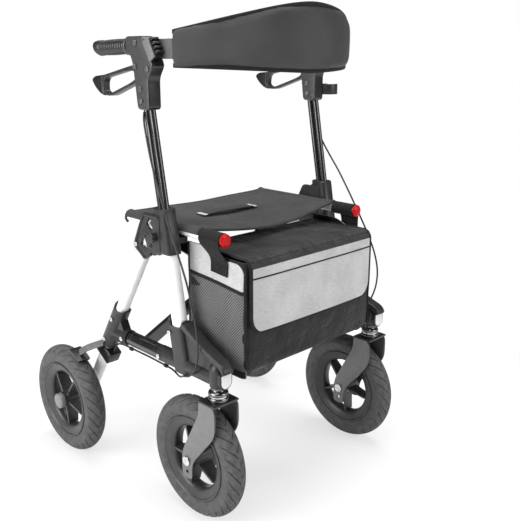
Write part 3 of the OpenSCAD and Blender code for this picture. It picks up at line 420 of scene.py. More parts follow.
WHITE_PAINT = HardFinish("white_paint", grey(0.94), 0.34, coat=0.4, mottle=0.02, edge=0.0)
BLACK_PAINT = HardFinish("black_paint", grey(0.11), 0.20, coat=0.6, grain=0.002, depth=0.00001)
BLACK_CASTING = HardFinish("black_casting", grey(0.17), 0.38, coat=0.1, shine=0.34, grain=0.0014)
FORK_PAINT = HardFinish("fork_paint", grey(0.44), 0.34, metallic=0.6, coat=0.3, mottle=0.06)
HANDLE_CASTING = HardFinish("handle_casting", grey(0.26), 0.40, metallic=0.2, coat=0.15, mottle=0.06)
CHEEK_PLASTIC = HardFinish("cheek_plastic", grey(0.43), 0.42, mottle=0.06)
# Dark casting; as the darker rim of two-finish plates it is painted shade, while the fork crown is dark in
# its own right.
DARK_CASTING_AND_SHADE = HardFinish("dark_casting", grey(0.10), 0.30, coat=0.3, shine=0.4, grain=0.0014, depth=0.00004)
WHEEL_PLASTIC = HardFinish("wheel_plastic", grey(0.20), 0.36, grain=0.0014, depth=0.00004, edge=0.3)
# The rim lips are the wheel plastic in a lighter grey, as a painted highlight.
LIT_RIM_LIP = HardFinish("lit_rim_lip", grey(0.25), 0.38, grain=0.0014, depth=0.00005)
HUB_CAP = HardFinish("hub_cap", grey(0.46), 0.42, lump=0.006)
TYRE_RUBBER = HardFinish(
    "tyre_rubber", grey(0.31), 0.66, shine=0.3, grain=0.002, depth=0.0002, edge=0.1, mottle=0.22,
)
GRIP_RUBBER = HardFinish("grip_rubber", grey(0.14), 0.34, grain=0.0016, edge=0.16)
CHROME = HardFinish("chrome", grey(0.48), 0.24, metallic=1.0, grain=0.001, depth=0.00001)
BRIGHT_STEEL = HardFinish("bright_steel", grey(0.84), 0.20, metallic=1.0, grain=0.001, depth=0.00001)
LEVER_METAL = HardFinish("lever_metal", grey(0.25), 0.32, metallic=0.5, edge=0.5)
FITTING_STEEL = HardFinish("fitting_steel", grey(0.50), 0.34, metallic=0.7, mottle=0.05, depth=0.00001)
STRAP_METAL = HardFinish("strap_metal", grey(0.52), 0.36, metallic=0.6, mottle=0.06)
DARK_PLASTIC = HardFinish("dark_plastic", grey(0.08), 0.34, grain=0.0014, depth=0.00005)
RED_PLASTIC = HardFinish(
    "red_plastic", (0.50, 0.001, 0.002, 1.0), 0.34, coat=0.1, shine=0.2, mottle=0.08, edge=0.0,
)
PALE_PLASTIC = HardFinish("pale_plastic", grey(0.88), 0.4, mottle=0.04, edge=0.0)
CABLE_SHEATH = HardFinish("cable_sheath", grey(0.14), 0.36, grain=0.0014, depth=0.00003)
SEAT_NYLON = ClothFinish("seat_nylon", grey(0.18), grey(0.30), weave=Weave.FLAT, crease=0.0007)
WEBBING = ClothFinish("webbing", grey(0.14), grey(0.26), pitch=0.0022, depth=0.0004, weave=Weave.FLAT)
BAG_NYLON = ClothFinish("bag_nylon", grey(0.045), grey(0.11), roughness=0.5, shine=0.22, crease=0.0009)
# The lid's cloth is the bag's nylon in a lighter tone: painted light where the top lamp falls on the lid.
LIT_LID_NYLON = ClothFinish(
    "lit_lid_nylon", grey(0.075), grey(0.18), roughness=0.44, shine=0.36, crease=0.0016, crease_size=0.05,
    fading=0.7,
)
BINDING = ClothFinish("binding", grey(0.07), grey(0.15), pitch=0.0018, depth=0.0003)
FLAP_CLOTH = ClothFinish("flap_cloth", grey(0.62), grey(0.82), pitch=0.0012, slub=0.5, sheen=0.03)
BACK_CLOTH = ClothFinish(
    "back_cloth", grey(0.15), grey(0.25), pitch=0.0009, roughness=0.46, shine=0.3, crease=0.0003,
    crease_size=0.07, fading=0.7,
)
STITCHING = HardFinish("stitching", grey(0.88), 0.8, grain=0.001, depth=0.0001, edge=0.0)
POCKET_NET = NetFinish("pocket_net", grey(0.12), grey(0.50), pitch=0.0062)


class Palette:
    """Makes each finish once and hands it out."""

    def __init__(self) -> None:
        """Starts with no material."""
        self.made: dict[str, bpy.types.Material] = {}

    def material(self, finish: Finish) -> bpy.types.Material:
        """Returns the material of a finish.

        Args:
            finish: The finish.

        Returns:
            Its material, made at the first call.
        """
        if finish.name not in self.made:
            self.made[finish.name] = finish.material()
        return self.made[finish.name]


palette = Palette()


def heading(path: Sequence[Vector], index: int) -> Vector:
    """Returns the direction of a path at one of its points."""
    return (path[min(index + 1, len(path) - 1)] - path[max(index - 1, 0)]).normalized()


def run_length(path: Sequence[Vector]) -> float:
    """Returns the length of a path."""
    return sum((b - a).length for a, b in zip(path, path[1:]))


def sine_of(place: Values, counts: Values) -> float:
    """Returns the sine of a place's coordinates, each taken as often as its count says."""
    return math.sin(sum(count * value for count, value in zip(counts, place)))


def curve_through(points: Sequence[Vector], steps: int) -> list[Vector]:
    """Returns a smooth path through points.

    Args:
        points: Points that the path passes.
        steps: Pieces between two points.

    Returns:
        The path, ends included.
    """
    path: list[Vector] = []
    last = len(points) - 1
    for index in range(last):
        before = points[max(index - 1, 0)]
        start = points[index]
        end = points[index + 1]
        after = points[min(index + 2, last)]
        for step in range(steps):
            t = step / steps
            path.append(0.5 * (
                2 * start
                + (end - before) * t
                + (2 * before - 5 * start + 4 * end - after) * t ** 2
                + (3 * start - before - 3 * end + after) * t ** 3
            ))
    path.append(points[last].copy())
    return path


def rounded(points: Sequence[Point], radius: float, steps: int = 5) -> list[Point]:
    """Rounds the corners of a closed outline.

    Args:
        points: Corners in order.
        radius: Largest radius, made smaller on short edges.
        steps: Pieces of each round.

    Returns:
        The rounded outline.
    """
    result: list[Point] = []
    count = len(points)
    for index in range(count):
        corner = Vector(points[index])
        back = Vector(points[index - 1]) - corner
        ahead = Vector(points[(index + 1) % count]) - corner
        reach = min(radius, back.length * 0.45, ahead.length * 0.45)
        start = corner + back.normalized() * reach
        end = corner + ahead.normalized() * reach
        for t in span(0.0, 1.0, steps):
            bend = start * (1 - t) ** 2 + corner * (2 * t * (1 - t)) + end * t ** 2
            result.append((bend.x, bend.y))
    return result


def ring(radius: float, sides: int, squeeze: float = 1.0) -> list[Point]:
    """Returns a round or oval section."""
    turns = [FULL_TURN * index / sides for index in range(sides)]
    return [(radius * math.cos(turn), radius * squeeze * math.sin(turn)) for turn in turns]


def oval(half: Point, corner: float, steps: int, inset: float = 0.0) -> list[Point]:
    """Returns a long round section with flat sides.

    Args:
        half: Half its length and half its width.
        corner: Radius of its corners.
        steps: Number of points.
        inset: How far it lies inside its outer size.

    Returns:
        The section.
    """
    flats = [size - corner for size in half]
    bend = corner - inset
    return [
        tuple(flat * max(-1.0, min(1.0, 3 * t)) + bend * t for flat, t in zip(flats, turn))
        for turn in ring(1.0, steps)
    ]


def box_section(half_wide: float, half_deep: float) -> list[Point]:
    """Returns the corners of a rectangle about its middle."""
    return [(a * half_wide, b * half_deep) for a, b in CORNER_SIGNS]


class Form:
    """Gathers the points and faces of one piece."""

    def __init__(self, name: str) -> None:
        """Starts empty."""
        self.name = name
        self.points: list[Vector] = []
        self.faces: list[tuple[int, ...]] = []

    def grid(self, rows: Net, around: bool = False, looped: bool = False) -> "Form":
        """Adds a net of four-sided faces.

        Args:
            rows: Rows of points, all of one length.
            around: Whether each row closes on itself.
            looped: Whether the last row joins the first.

        Returns:
            The form.
        """
        start = len(self.points)
        height = len(rows)
        width = len(rows[0])
        for row in rows:
            self.points.extend(row)
        for i in range(height if looped else height - 1):
            for j in range(width if around else width - 1):
                here = start + i * width
                there = start + (i + 1) % height * width
                self.faces.append((here + j, here + (j + 1) % width, there + (j + 1) % width, there + j))
        return self

    def cap(self, points: Sequence[Vector]) -> None:
        """Adds one face over a ring of points."""
        start = len(self.points)
        self.points.extend(points)
        self.faces.append(tuple(range(start, start + len(points))))

    def loft(self, rows: Net) -> "Form":
        """Adds a skin over rings of points, closed at both ends.

        Args:
            rows: The rings, all of one length.

        Returns:
            The form.
        """
        self.grid(rows, around=True)
        self.cap(rows[0])
        self.cap(rows[-1])
        return self

    def slab(self, *nets: Net) -> "Form":
        """Adds a closed sheet.

        Args:
            nets: Its two faces, of the same size.

        Returns:
            The form.
        """
        for net in nets:
            self.grid(net)
        for end in (0, -1):
            self.grid([[row[end] for row in net] for net in nets])
        for end in (0, -1):
            self.grid([net[end] for net in nets])
        return self

    def sweep(self, path: Sequence[Vector], section: Sequence[Point], up: Vector) -> "Form":
        """Carries a closed section along a path.

        Args:
            path: Points of the path.
            section: Outline, first along the path's side and then along its other square direction.
            up: A direction that the path is never along at its start.

        Returns:
            The form.
        """
        rows = []
        side = None
        for index, spot in enumerate(path):
            tangent = heading(path, index)
            side = up.cross(tangent) if side is None else side - tangent * side.dot(tangent)
            side.normalize()
            over = tangent.cross(side)
            rows.append([spot + side * a + over * b for a, b in section])
        return self.loft(rows)

    def lathe(
        self, profile: Sequence[Point], centre: Vector, axis: Vector, steps: int, closed: bool = False,
    ) -> "Form":
        """Turns a profile about an axis.

        Args:
            profile: Pairs of a radius and a place along the axis.
            centre: Point of the axis that places are measured from.
            axis: Direction of the axis.
            steps: Pieces of a turn.
            closed: Whether the profile's last point joins its first.

        Returns:
            The form.
        """
        turn = UPWARD.rotation_difference(axis)
        pairs = [*profile, profile[0]] if closed else profile
        rows = []
        for cosine, sine in ring(1.0, steps):
            spoke = Vector((cosine, sine, 0))
            rows.append([centre + turn @ (spoke * radius + UPWARD * along) for radius, along in pairs])
        return self.grid(rows, looped=True)

    def build(self, *finishes: Finish) -> Piece:
        """Returns the object, in place, with its finishes."""
        mesh = bpy.data.meshes.new(self.name)
        mesh.from_pydata([tuple(point) for point in self.points], [], self.faces)
        return finish_mesh(self.name, mesh, finishes)

    def dress(self, finish: Finish, body: str, slot: str, *replaced: str) -> Piece:
        """Makes the object and lets it ride a body, as attach says."""
        return attach(self.build(finish), body, slot, *replaced)


def finish_mesh(name: str, mesh: bpy.types.Mesh, finishes: Sequence[Finish]) -> Piece:
    """Cleans a mesh, gives it its finishes and makes it an object.

    Args:
        name: Name of the object.
        mesh: The mesh, in the frame's coordinates.
        finishes: Finishes by number.

    Returns:
        The object.
    """
    work = bmesh.new()
    work.from_mesh(mesh)
    bmesh.ops.remove_doubles(work, verts=work.verts, dist=WELD_DISTANCE)
    bmesh.ops.recalc_face_normals(work, faces=work.faces)
    work.to_mesh(mesh)
    work.free()
    for finish in finishes:
        mesh.materials.append(palette.material(finish))
    made = bpy.data.objects.new(name, mesh)
    bpy.context.scene.collection.objects.link(made)
    mesh.shade_smooth()
    mesh.set_sharp_from_angle(angle=SHARP_ANGLE)
    return made


def applied_mesh(made: Piece) -> bpy.types.Mesh:
    """Returns an object's mesh with its modifiers applied."""
    bpy.context.view_layer.update()
    return bpy.data.meshes.new_from_object(made.evaluated_get(bpy.context.evaluated_depsgraph_get()))


def plate(
    name: str,
    outline: Sequence[Point],
    holes: Sequence[Sequence[Point]],
    low_y: float,
    high_y: float,
    edge: float,
    *finishes: Finish,
) -> Piece:
    """Makes a plate with round edges in a plane of X and Z.

    Args:
        name: Name of the object.
        outline: Outer outline, as x and z.
        holes: Inner outlines.
        low_y: One face of the plate.
        high_y: The other face.
        edge: Radius of the edges.
        finishes: One finish, or the finish of the faces and that of the rim.

    Returns:
        The object.
    """
    flat = bpy.data.curves.new(name, "CURVE")
    flat.dimensions = "2D"
    flat.fill_mode = "BOTH"
    flat.extrude = abs(high_y - low_y) / 2 - edge
    flat.bevel_depth = edge
    flat.bevel_resolution = 3
    flat.offset = -edge
    for loop in [outline, *holes]:
        spline = flat.splines.new("POLY")
        spline.points.add(len(loop) - 1)
        for spot, (x, z) in zip(spline.points, loop):
            spot.co = (x, z, 0, 1)
        spline.use_cyclic_u = True
    holder = bpy.data.objects.new(f"{name}_outline", flat)
    bpy.context.scene.collection.objects.link(holder)
    mesh = applied_mesh(holder)
    bpy.data.objects.remove(holder)
    middle_y = (low_y + high_y) / 2
    mesh.transform(Matrix.Translation((0, middle_y, 0)) @ Matrix.Rotation(math.pi / 2, 4, "X"))
    # Faces across Y take the first finish and the rim the second; a darker rim finish is painted shade on the
    # sides turned from the key lamp.
    if len(finishes) > 1:
        for polygon in mesh.polygons:
            polygon.material_index = 0 if abs(polygon.normal.y) > 0.6 else 1
    return finish_mesh(name, mesh, finishes)


def block(name: str, low: Values, high: Values, edge: float, finish: Finish) -> Piece:
    """Makes a block with round edges.

    Args:
        name: Name of the object.
        low: Lowest corner.
        high: Highest corner.
        edge: Radius of the edges.
        finish: Its finish.

    Returns:
        The object.
    """
    corners = (Vector(low), Vector(high))
    mesh = bpy.data.meshes.new(name)
    work = bmesh.new()
    bmesh.ops.create_cube(work, size=1.0)
    bmesh.ops.scale(work, vec=corners[1] - corners[0], verts=work.verts)
    bmesh.ops.translate(work, vec=(corners[0] + corners[1]) / 2, verts=work.verts)
    bmesh.ops.bevel(work, geom=work.edges[:], offset=edge, segments=3, affect="EDGES", profile=0.5)
    work.to_mesh(mesh)
    work.free()
    return finish_mesh(name, mesh, [finish])


def attach(made: Piece, body: str, slot: str, *replaced: str) -> Piece:
    """Lets a piece ride a body.

    Args:
        made: The piece.
        body: Body that it moves with.
        slot: Material slot of the record; not used.
        replaced: Nodes that it stands for.

    Returns:
        The piece.
    """
    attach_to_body(made, body)
    if replaced:
        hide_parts(*replaced)
    logger.info("%s rides %s", made.name, body)
    return made


@dataclass
class PhotoCamera:
    """The camera that the photograph was taken with."""

    spot: Spot = (1.2376, -1.0700, 0.9177)
    pitch: float = math.radians(15.774)
    turn: float = math.radians(45.619)
    lens: float = 49.61
    sensor: float = 36.0

    def build(self) -> None:
        """Makes the camera and sets it as the scene's."""
        data = bpy.data.cameras.new("photo_camera")
        data.lens = self.lens
        data.sensor_width = self.sensor
        data.dof.use_dof = False
        made = bpy.data.objects.new("photo_camera", data)
        made.location = self.spot
        made.rotation_euler = (math.pi / 2 - self.pitch, 0, self.turn)
        bpy.context.scene.collection.objects.link(made)
        bpy.context.scene.camera = made


@dataclass
class Studio:
    """Floor, backdrop and soft lamps."""

    floor_half: float = 40.0
    floor_glow: float = 0.6
    shadow_from: float = 0.45
    shadow_to: float = 1.1
    ambient: float = 0.27
    mirrored: float = 0.10
    aim: Spot = (0.0, 0.0, 0.5)
    lamps: tuple[tuple[str, Spot, float, float], ...] = (
        ("key_lamp", (-0.35, -2.5, 1.45), 1.9, 76.0),
        ("top_lamp", (0.1, 0.2, 3.0), 2.4, 84.0),
        ("front_lamp", (2.7, 0.9, 1.5), 1.5, 34.0),
    )

    def build(self) -> None:
        """Makes the floor, the world and the lamps."""
        bpy.context.scene.view_settings.view_transform = "Standard"
        self.floor()
        self.world()
        for lamp in self.lamps:
            self.lamp(*lamp)

    def floor(self) -> None:
        """Makes the pale floor."""
        reach = self.floor_half
        form = Form("floor")
        form.grid([[Vector((x, y, 0)) for x in (-reach, reach)] for y in (-reach, reach)])
        made = form.build()
        surface = bpy.data.materials.new("floor")
        graph = Graph(surface)
        cover = graph.node("ShaderNodeBsdfDiffuse", None, {"Color": grey(0.97)})
        glow = graph.node("ShaderNodeEmission", None, {"Color": grey(1.0), "Strength": 1.0})
        seen = graph.node("ShaderNodeLightPath", output="Is Camera Ray")
        spot = graph.place()
        far = (spot.dot(spot) ** 0.5).within(self.shadow_from, self.shadow_to)
        share = seen * (far * (1 - self.floor_glow) + self.floor_glow)
        mixed = graph.node("ShaderNodeMixShader", None, {0: share, 1: cover, 2: glow})
        graph.node("ShaderNodeOutputMaterial", None, {"Surface": mixed})
        made.data.materials.append(surface)

    def world(self) -> None:
        """Makes a backdrop that is white to the camera and dimmer as a light."""
        world = bpy.data.worlds.new("studio")
        bpy.context.scene.world = world
        graph = Graph(world)
        rays = graph.node("ShaderNodeLightPath").socket.node.outputs
        camera = Wire(graph, rays["Is Camera Ray"])
        mirror = Wire(graph, rays["Is Glossy Ray"])
        dim = mirror.mix((self.ambient,) * 3 + (1.0,), (self.mirrored,) * 3 + (1.0,))
        colour = camera.mix(dim, (1.0, 1.0, 1.0, 1.0))
        back = graph.node("ShaderNodeBackground", None, {"Color": colour, "Strength": 1.0})
        graph.node("ShaderNodeOutputWorld", None, {"Surface": back})

    def lamp(self, name: str, spot: Spot, size: float, power: float) -> None:
        """Makes one soft square lamp.

        Args:
            name: Name of the lamp.
            spot: Where it stands.
            size: Length of its edge.
            power: Power in watts.
        """
        data = bpy.data.lights.new(name, "AREA")
        data.size = size
        data.energy = power
        made = bpy.data.objects.new(name, data)
        made.location = spot
        made.rotation_euler = (Vector(self.aim) - Vector(spot)).to_track_quat("-Z", "Y").to_euler()
        bpy.context.scene.collection.objects.link(made)


@dataclass
class FrameFinishes:
    """Finishes of the CAD nodes that stay as they are."""

    def dress(self) -> None:
        """Gives each kept node its finish."""
        kinds: dict[str, Finish] = {
            "front_leg": WHITE_PAINT, "rear_leg": WHITE_PAINT, "seat_rail": WHITE_PAINT,
            "clamp_knob": BLACK_CASTING, "lower_tube": BLACK_PAINT, "rear_bracket": BLACK_CASTING,
            "frame_bolts": BRIGHT_STEEL, "caster_hardware": BRIGHT_STEEL, "handle_tubes": BLACK_PAINT,
            "handle_fittings": FITTING_STEEL, "rail_cap": RED_PLASTIC,
        }
        finishes: dict[str, Finish] = {"brace_a": BLACK_PAINT, "brace_b": BLACK_PAINT}
        for side in Side:
            finishes.update({side.node(kind): finish for kind, finish in kinds.items()})
        for name, finish in finishes.items():
            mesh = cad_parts[name].data
            mesh.materials.clear()
            mesh.materials.append(palette.material(finish))
            logger.info("%s is finished in %s", name, finish.name)


@dataclass
class SidePart:
    """A sub-assembly of one side frame."""

    side: Side

    def on(self, kind: str) -> str:
        """Returns the name of this side's node or body of a kind."""
        return self.side.node(kind)

    def at(self, x: float, out: float, z: float) -> Vector:
        """Returns a point of this side, out being measured outward from the side's own plane."""
        return self.side.place(x, out, z)

    def faces(self, first: float, second: float) -> list[float]:
        """Returns two places across the side frame as lower and higher Y."""
        return sorted(self.at(0, out, 0).y for out in (first, second))


@dataclass
class BrakeCable(SidePart):
    """A sheathed cable from the handle bracket down to the brake housing."""

    diameter: float = 0.004
    sides: int = 10
    steps: int = 6
    bend_low: float = 0.56
    bend_high: float = 0.80
    right_head: Route = (
        (0.0755, 0.009, 0.817), (0.081, 0.014, 0.800), (0.0985, 0.022, 0.770), (0.1128, 0.025, 0.732),
        (0.1265, 0.025, 0.693), (0.142, 0.025, 0.656), (0.160, 0.025, 0.614), (0.180, 0.025, 0.572),
        (0.200, 0.025, 0.532), (0.213, 0.024, 0.498), (0.222, 0.023, 0.463), (0.231, 0.022, 0.425),
        (0.236, 0.022, 0.388), (0.235, 0.022, 0.357), (0.225, 0.022, 0.329), (0.208, 0.022, 0.312),
        (0.187, 0.020, 0.304), (0.168, 0.014, 0.295), (0.150, 0.006, 0.2905),
    )
    left_head: Route = (
        (0.070, 0.009, 0.817), (0.066, 0.015, 0.800), (0.074, 0.021, 0.765), (0.093, 0.024, 0.726),
        (0.118, 0.025, 0.692), (0.146, 0.025, 0.658), (0.172, 0.025, 0.622), (0.196, 0.025, 0.587),
        (0.220, 0.025, 0.551), (0.243, 0.025, 0.514), (0.262, 0.025, 0.476), (0.273, 0.024, 0.438),
        (0.272, 0.023, 0.400), (0.260, 0.022, 0.364), (0.240, 0.022, 0.330), (0.215, 0.020, 0.300),
        (0.188, 0.013, 0.291), (0.160, 0.004, 0.291),
    )
    tail: Route = (
        (0.125, 0.002, 0.294), (0.085, 0.002, 0.296), (0.045, 0.002, 0.297), (0.005, 0.002, 0.297),
        (-0.025, 0.002, 0.297), (-0.047, 0.002, 0.2968), (-0.064, 0.002, 0.2945), (-0.0762, 0.002, 0.2895),
        (-0.0850, 0.002, 0.2800), (-0.0931, 0.002, 0.2662),
    )

    def build(self) -> None:
        head = self.right_head if self.side is Side.RIGHT else self.left_head
        path = curve_through([self.at(*spot) for spot in head + self.tail], self.steps)
        section = ring(self.diameter / 2, self.sides)
        made = Form(self.on("cable_run")).sweep(path, section, FORWARD).build(CABLE_SHEATH)
        low, high = (self.at(path[0].x, 0, z) for z in (self.bend_low, self.bend_high))
        self.on("side")
        self.on("handle")
        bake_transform(made)
        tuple(low)
        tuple(high)
        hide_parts(self.on("brake_cable"))
        length = run_length(path)
        logger.info("%s is %.3f m long", made.name, length)


@dataclass
class Tyre:
    """An air tyre with slanting grooves, a smooth sidewall and a line at the bead."""

    node: str
    body: str
    blocks: int = 30
    lean: float = 0.30
    tread_angle: float = math.radians(74)
    fade_angle: float = math.radians(54)
    stagger_angle: float = 0.12
    groove: float = 0.0022
    ridge: float = 0.0009
    ridge_spread: float = 0.07
    bead_angle: float = math.radians(112)
    bead_groove: float = 0.0012
    bead_spread: float = 0.05
    seat_radius_share: float = 0.694
    column_shares: tuple[float, ...] = (0.0, 0.05, 0.08, 0.16, 0.19, 0.24, 0.45, 0.70)
    sunk_columns: tuple[int, ...] = (2, 3)
    rows: int = 45

    def height(self, angle: float, in_groove: bool) -> float:
        """Returns how far the surface stands off the round section.

        Args:
            angle: Place across the section.
            in_groove: Whether the place lies in a groove of the tread.

        Returns:
            The height, below zero in a groove.
        """
        across = abs(angle)
        dent = -self.groove * (1 - ease(self.fade_angle, self.tread_angle, across)) if in_groove else 0.0
        ridge = self.ridge * math.exp(-((across - self.tread_angle) / self.ridge_spread) ** 2)
        line = -self.bead_groove * math.exp(-((across - self.bead_angle) / self.bead_spread) ** 2)
        return dent + ridge + line

    def build(self) -> None:
        """Makes the tyre in place of its node."""
        low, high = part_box(self.node)
        centre = (low + high) / 2
        outer = (high.z - low.z) / 2
        section = (high.y - low.y) / 2
        core = outer - section
        end = math.acos((outer * self.seat_radius_share - core) / section)
        grid = []
        for number in range(self.blocks):
            for column, share in enumerate(self.column_shares):
                row = []
                for angle in span(-end, end, self.rows - 1):
                    swing = self.lean * min(abs(angle) / self.tread_angle, 1.0)
                    stagger = math.pi / self.blocks if angle < 0 else 0.0
                    turn = FULL_TURN * (number + share) / self.blocks + swing
                    turn += stagger * ease(0.0, self.stagger_angle, abs(angle))
                    reach = section + self.height(angle, column in self.sunk_columns)
                    radius = core + reach * math.cos(angle)
                    row.append(centre + Vector((
                        radius * math.cos(turn), reach * math.sin(angle), radius * math.sin(turn),
                    )))
                grid.append(row)
        form = Form(f"{self.node}_tread")
        form.grid(grid, looped=True)
        form.grid([[row[0] for row in grid], [row[-1] for row in grid]], around=True)
        form.dress(TYRE_RUBBER, self.body, "tyre_rubber", self.node)


@dataclass
class Fork(SidePart):
    """A caster fork: two flat legs with round feet under a black crown."""

    crown_half: float = 0.024
    crown_drop: float = 0.0183
    foot_half: float = 0.016
    spare_drop: float = 0.024
    spare_radius: float = 0.0036
    leg_thickness: float = 0.004
    bend_shares: Point = (0.80, 0.58)
    bend: float = 0.020
    edge: float = 0.0009

    def build(self) -> None:
        """Makes the legs and the crown, just under the head's bearing, in place of the node."""
        node = self.on("fork")
        low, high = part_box(node)
        wheel = middle(self.on("caster_wheel"))
        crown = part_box(self.on("front_bracket"))[0].z - self.crown_drop
        rear, front = (wheel.x + CASTER_TRAIL + sign * self.crown_half for sign in (-1, 1))
        bend_rear, bend_front = (wheel.z + (crown - wheel.z) * share for share in self.bend_shares)
        foot_rear, foot_front = (wheel.x + sign * self.foot_half for sign in (-1, 1))
        foot_low = wheel.z - self.spare_drop - self.foot_half
        outline = [
            (rear, crown), (front, crown), (front, bend_front), (foot_front, wheel.z), (foot_front, foot_low),
            (foot_rear, foot_low), (foot_rear, wheel.z + self.foot_half), (rear, bend_rear),
        ]
        hole = [(wheel.x + a, wheel.z - self.spare_drop + b) for a, b in ring(self.spare_radius, 16)]
        for name, start in {"inner_leg": low.y, "outer_leg": high.y - self.leg_thickness}.items():
            # The legs' rims take the dark casting finish as painted shade; their flat faces take the lighter
            # fork paint.
            made = plate(
                f"{node}_{name}", rounded(outline, self.bend, 8), [hole],
                start, start + self.leg_thickness, self.edge, FORK_PAINT, DARK_CASTING_AND_SHADE,
            )
            attach(made, node, "black_paint", node)
        corners = (rear, low.y, crown - self.leg_thickness), (front, high.y, crown + self.edge)
        attach(block(f"{node}_crown", *corners, self.edge, DARK_CASTING_AND_SHADE), node, "black_paint")


@dataclass
class BrakeStrap(SidePart):
    """The brake's flat strap and the shoe over the tyre."""

    width: float = 0.017
    thickness: float = 0.003
    run: Route = ((-0.106, 0.020, 0.291), (-0.124, 0.032, 0.2825), (-0.142, 0.046, 0.2725))
    facing_shares: Spot = (0.30, 0.50, 0.80)
    shoe_gap: float = 0.0046
    shoe_thickness: float = 0.008
    shoe_lap: float = 0.001
    shoe_half: float = 0.015
    shoe_from: float = math.radians(58)
    shoe_to: float = math.radians(76)

    def build(self) -> None:
        """Makes the strap and the shoe in place of the node."""
        node = self.on("brake_arm")
        low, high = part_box(self.on("rear_tyre"))
        axle = (low + high) / 2
        radius = (high.z - low.z) / 2 + self.shoe_gap
        out = abs(axle.y) - SIDE_Y
        reach = radius + self.shoe_thickness

        def over(distance: float, angle: float, aside: float) -> Vector:
            """Returns a point over the tyre."""
            x = axle.x + distance * math.cos(angle)
            return self.at(x, out + aside, axle.z + distance * math.sin(angle))

        end = over(reach, (self.shoe_from + self.shoe_to) / 2, 0.0)
        path = curve_through([*(self.at(*spot) for spot in self.run), end], 8)
        ahead, aside, up_share = self.facing_shares
        facing = Vector((ahead, self.side.value * aside, up_share)).normalized()
        nets: tuple[list[list[Vector]], list[list[Vector]]] = ([], [])
        for index, spot in enumerate(path):
            along = heading(path, index)
            across = along.cross(facing).normalized()
            up = across.cross(along)
            for net, lift in zip(nets, (self.thickness / 2, -self.thickness / 2)):
                net.append([spot + across * share * self.width / 2 + up * lift for share in span(-1, 1, 2)])
        Form(f"{node}_strap").slab(*nets).dress(STRAP_METAL, self.on("brake"), "lever_metal", node)
        asides = span(-self.shoe_half, self.shoe_half, 4)
        angles = span(self.shoe_from, self.shoe_to, 8)
        shoe = [
            [[over(distance, angle, aside) for aside in asides] for angle in angles]
            for distance in (reach - self.shoe_lap, radius)
        ]
        Form(f"{node}_shoe").slab(*shoe).dress(DARK_PLASTIC, self.on("brake"), "black_casting")


@dataclass
class BrakeHousing(SidePart):
    """The small block round the rear leg that the brake cable ends on."""

    foot: Point = (-0.1343, 0.2497)
    lean: float = math.atan(0.632)
    low: Spot = (-0.0168, -0.0165, 0.005)
    high: Spot = (0.033, 0.0165, 0.036)
    edge: float = 0.003

    def build(self) -> None:
        """Makes the block in place of the node."""
        node = self.on("brake_housing")
        made = block(f"{node}_block", self.low, self.high, self.edge, DARK_PLASTIC)
        spot = self.at(self.foot[0], 0.0, self.foot[1])
        made.data.transform(Matrix.Translation(spot) @ Matrix.Rotation(self.lean, 4, "Y"))
        attach(made, self.on("side"), "black_casting", node)


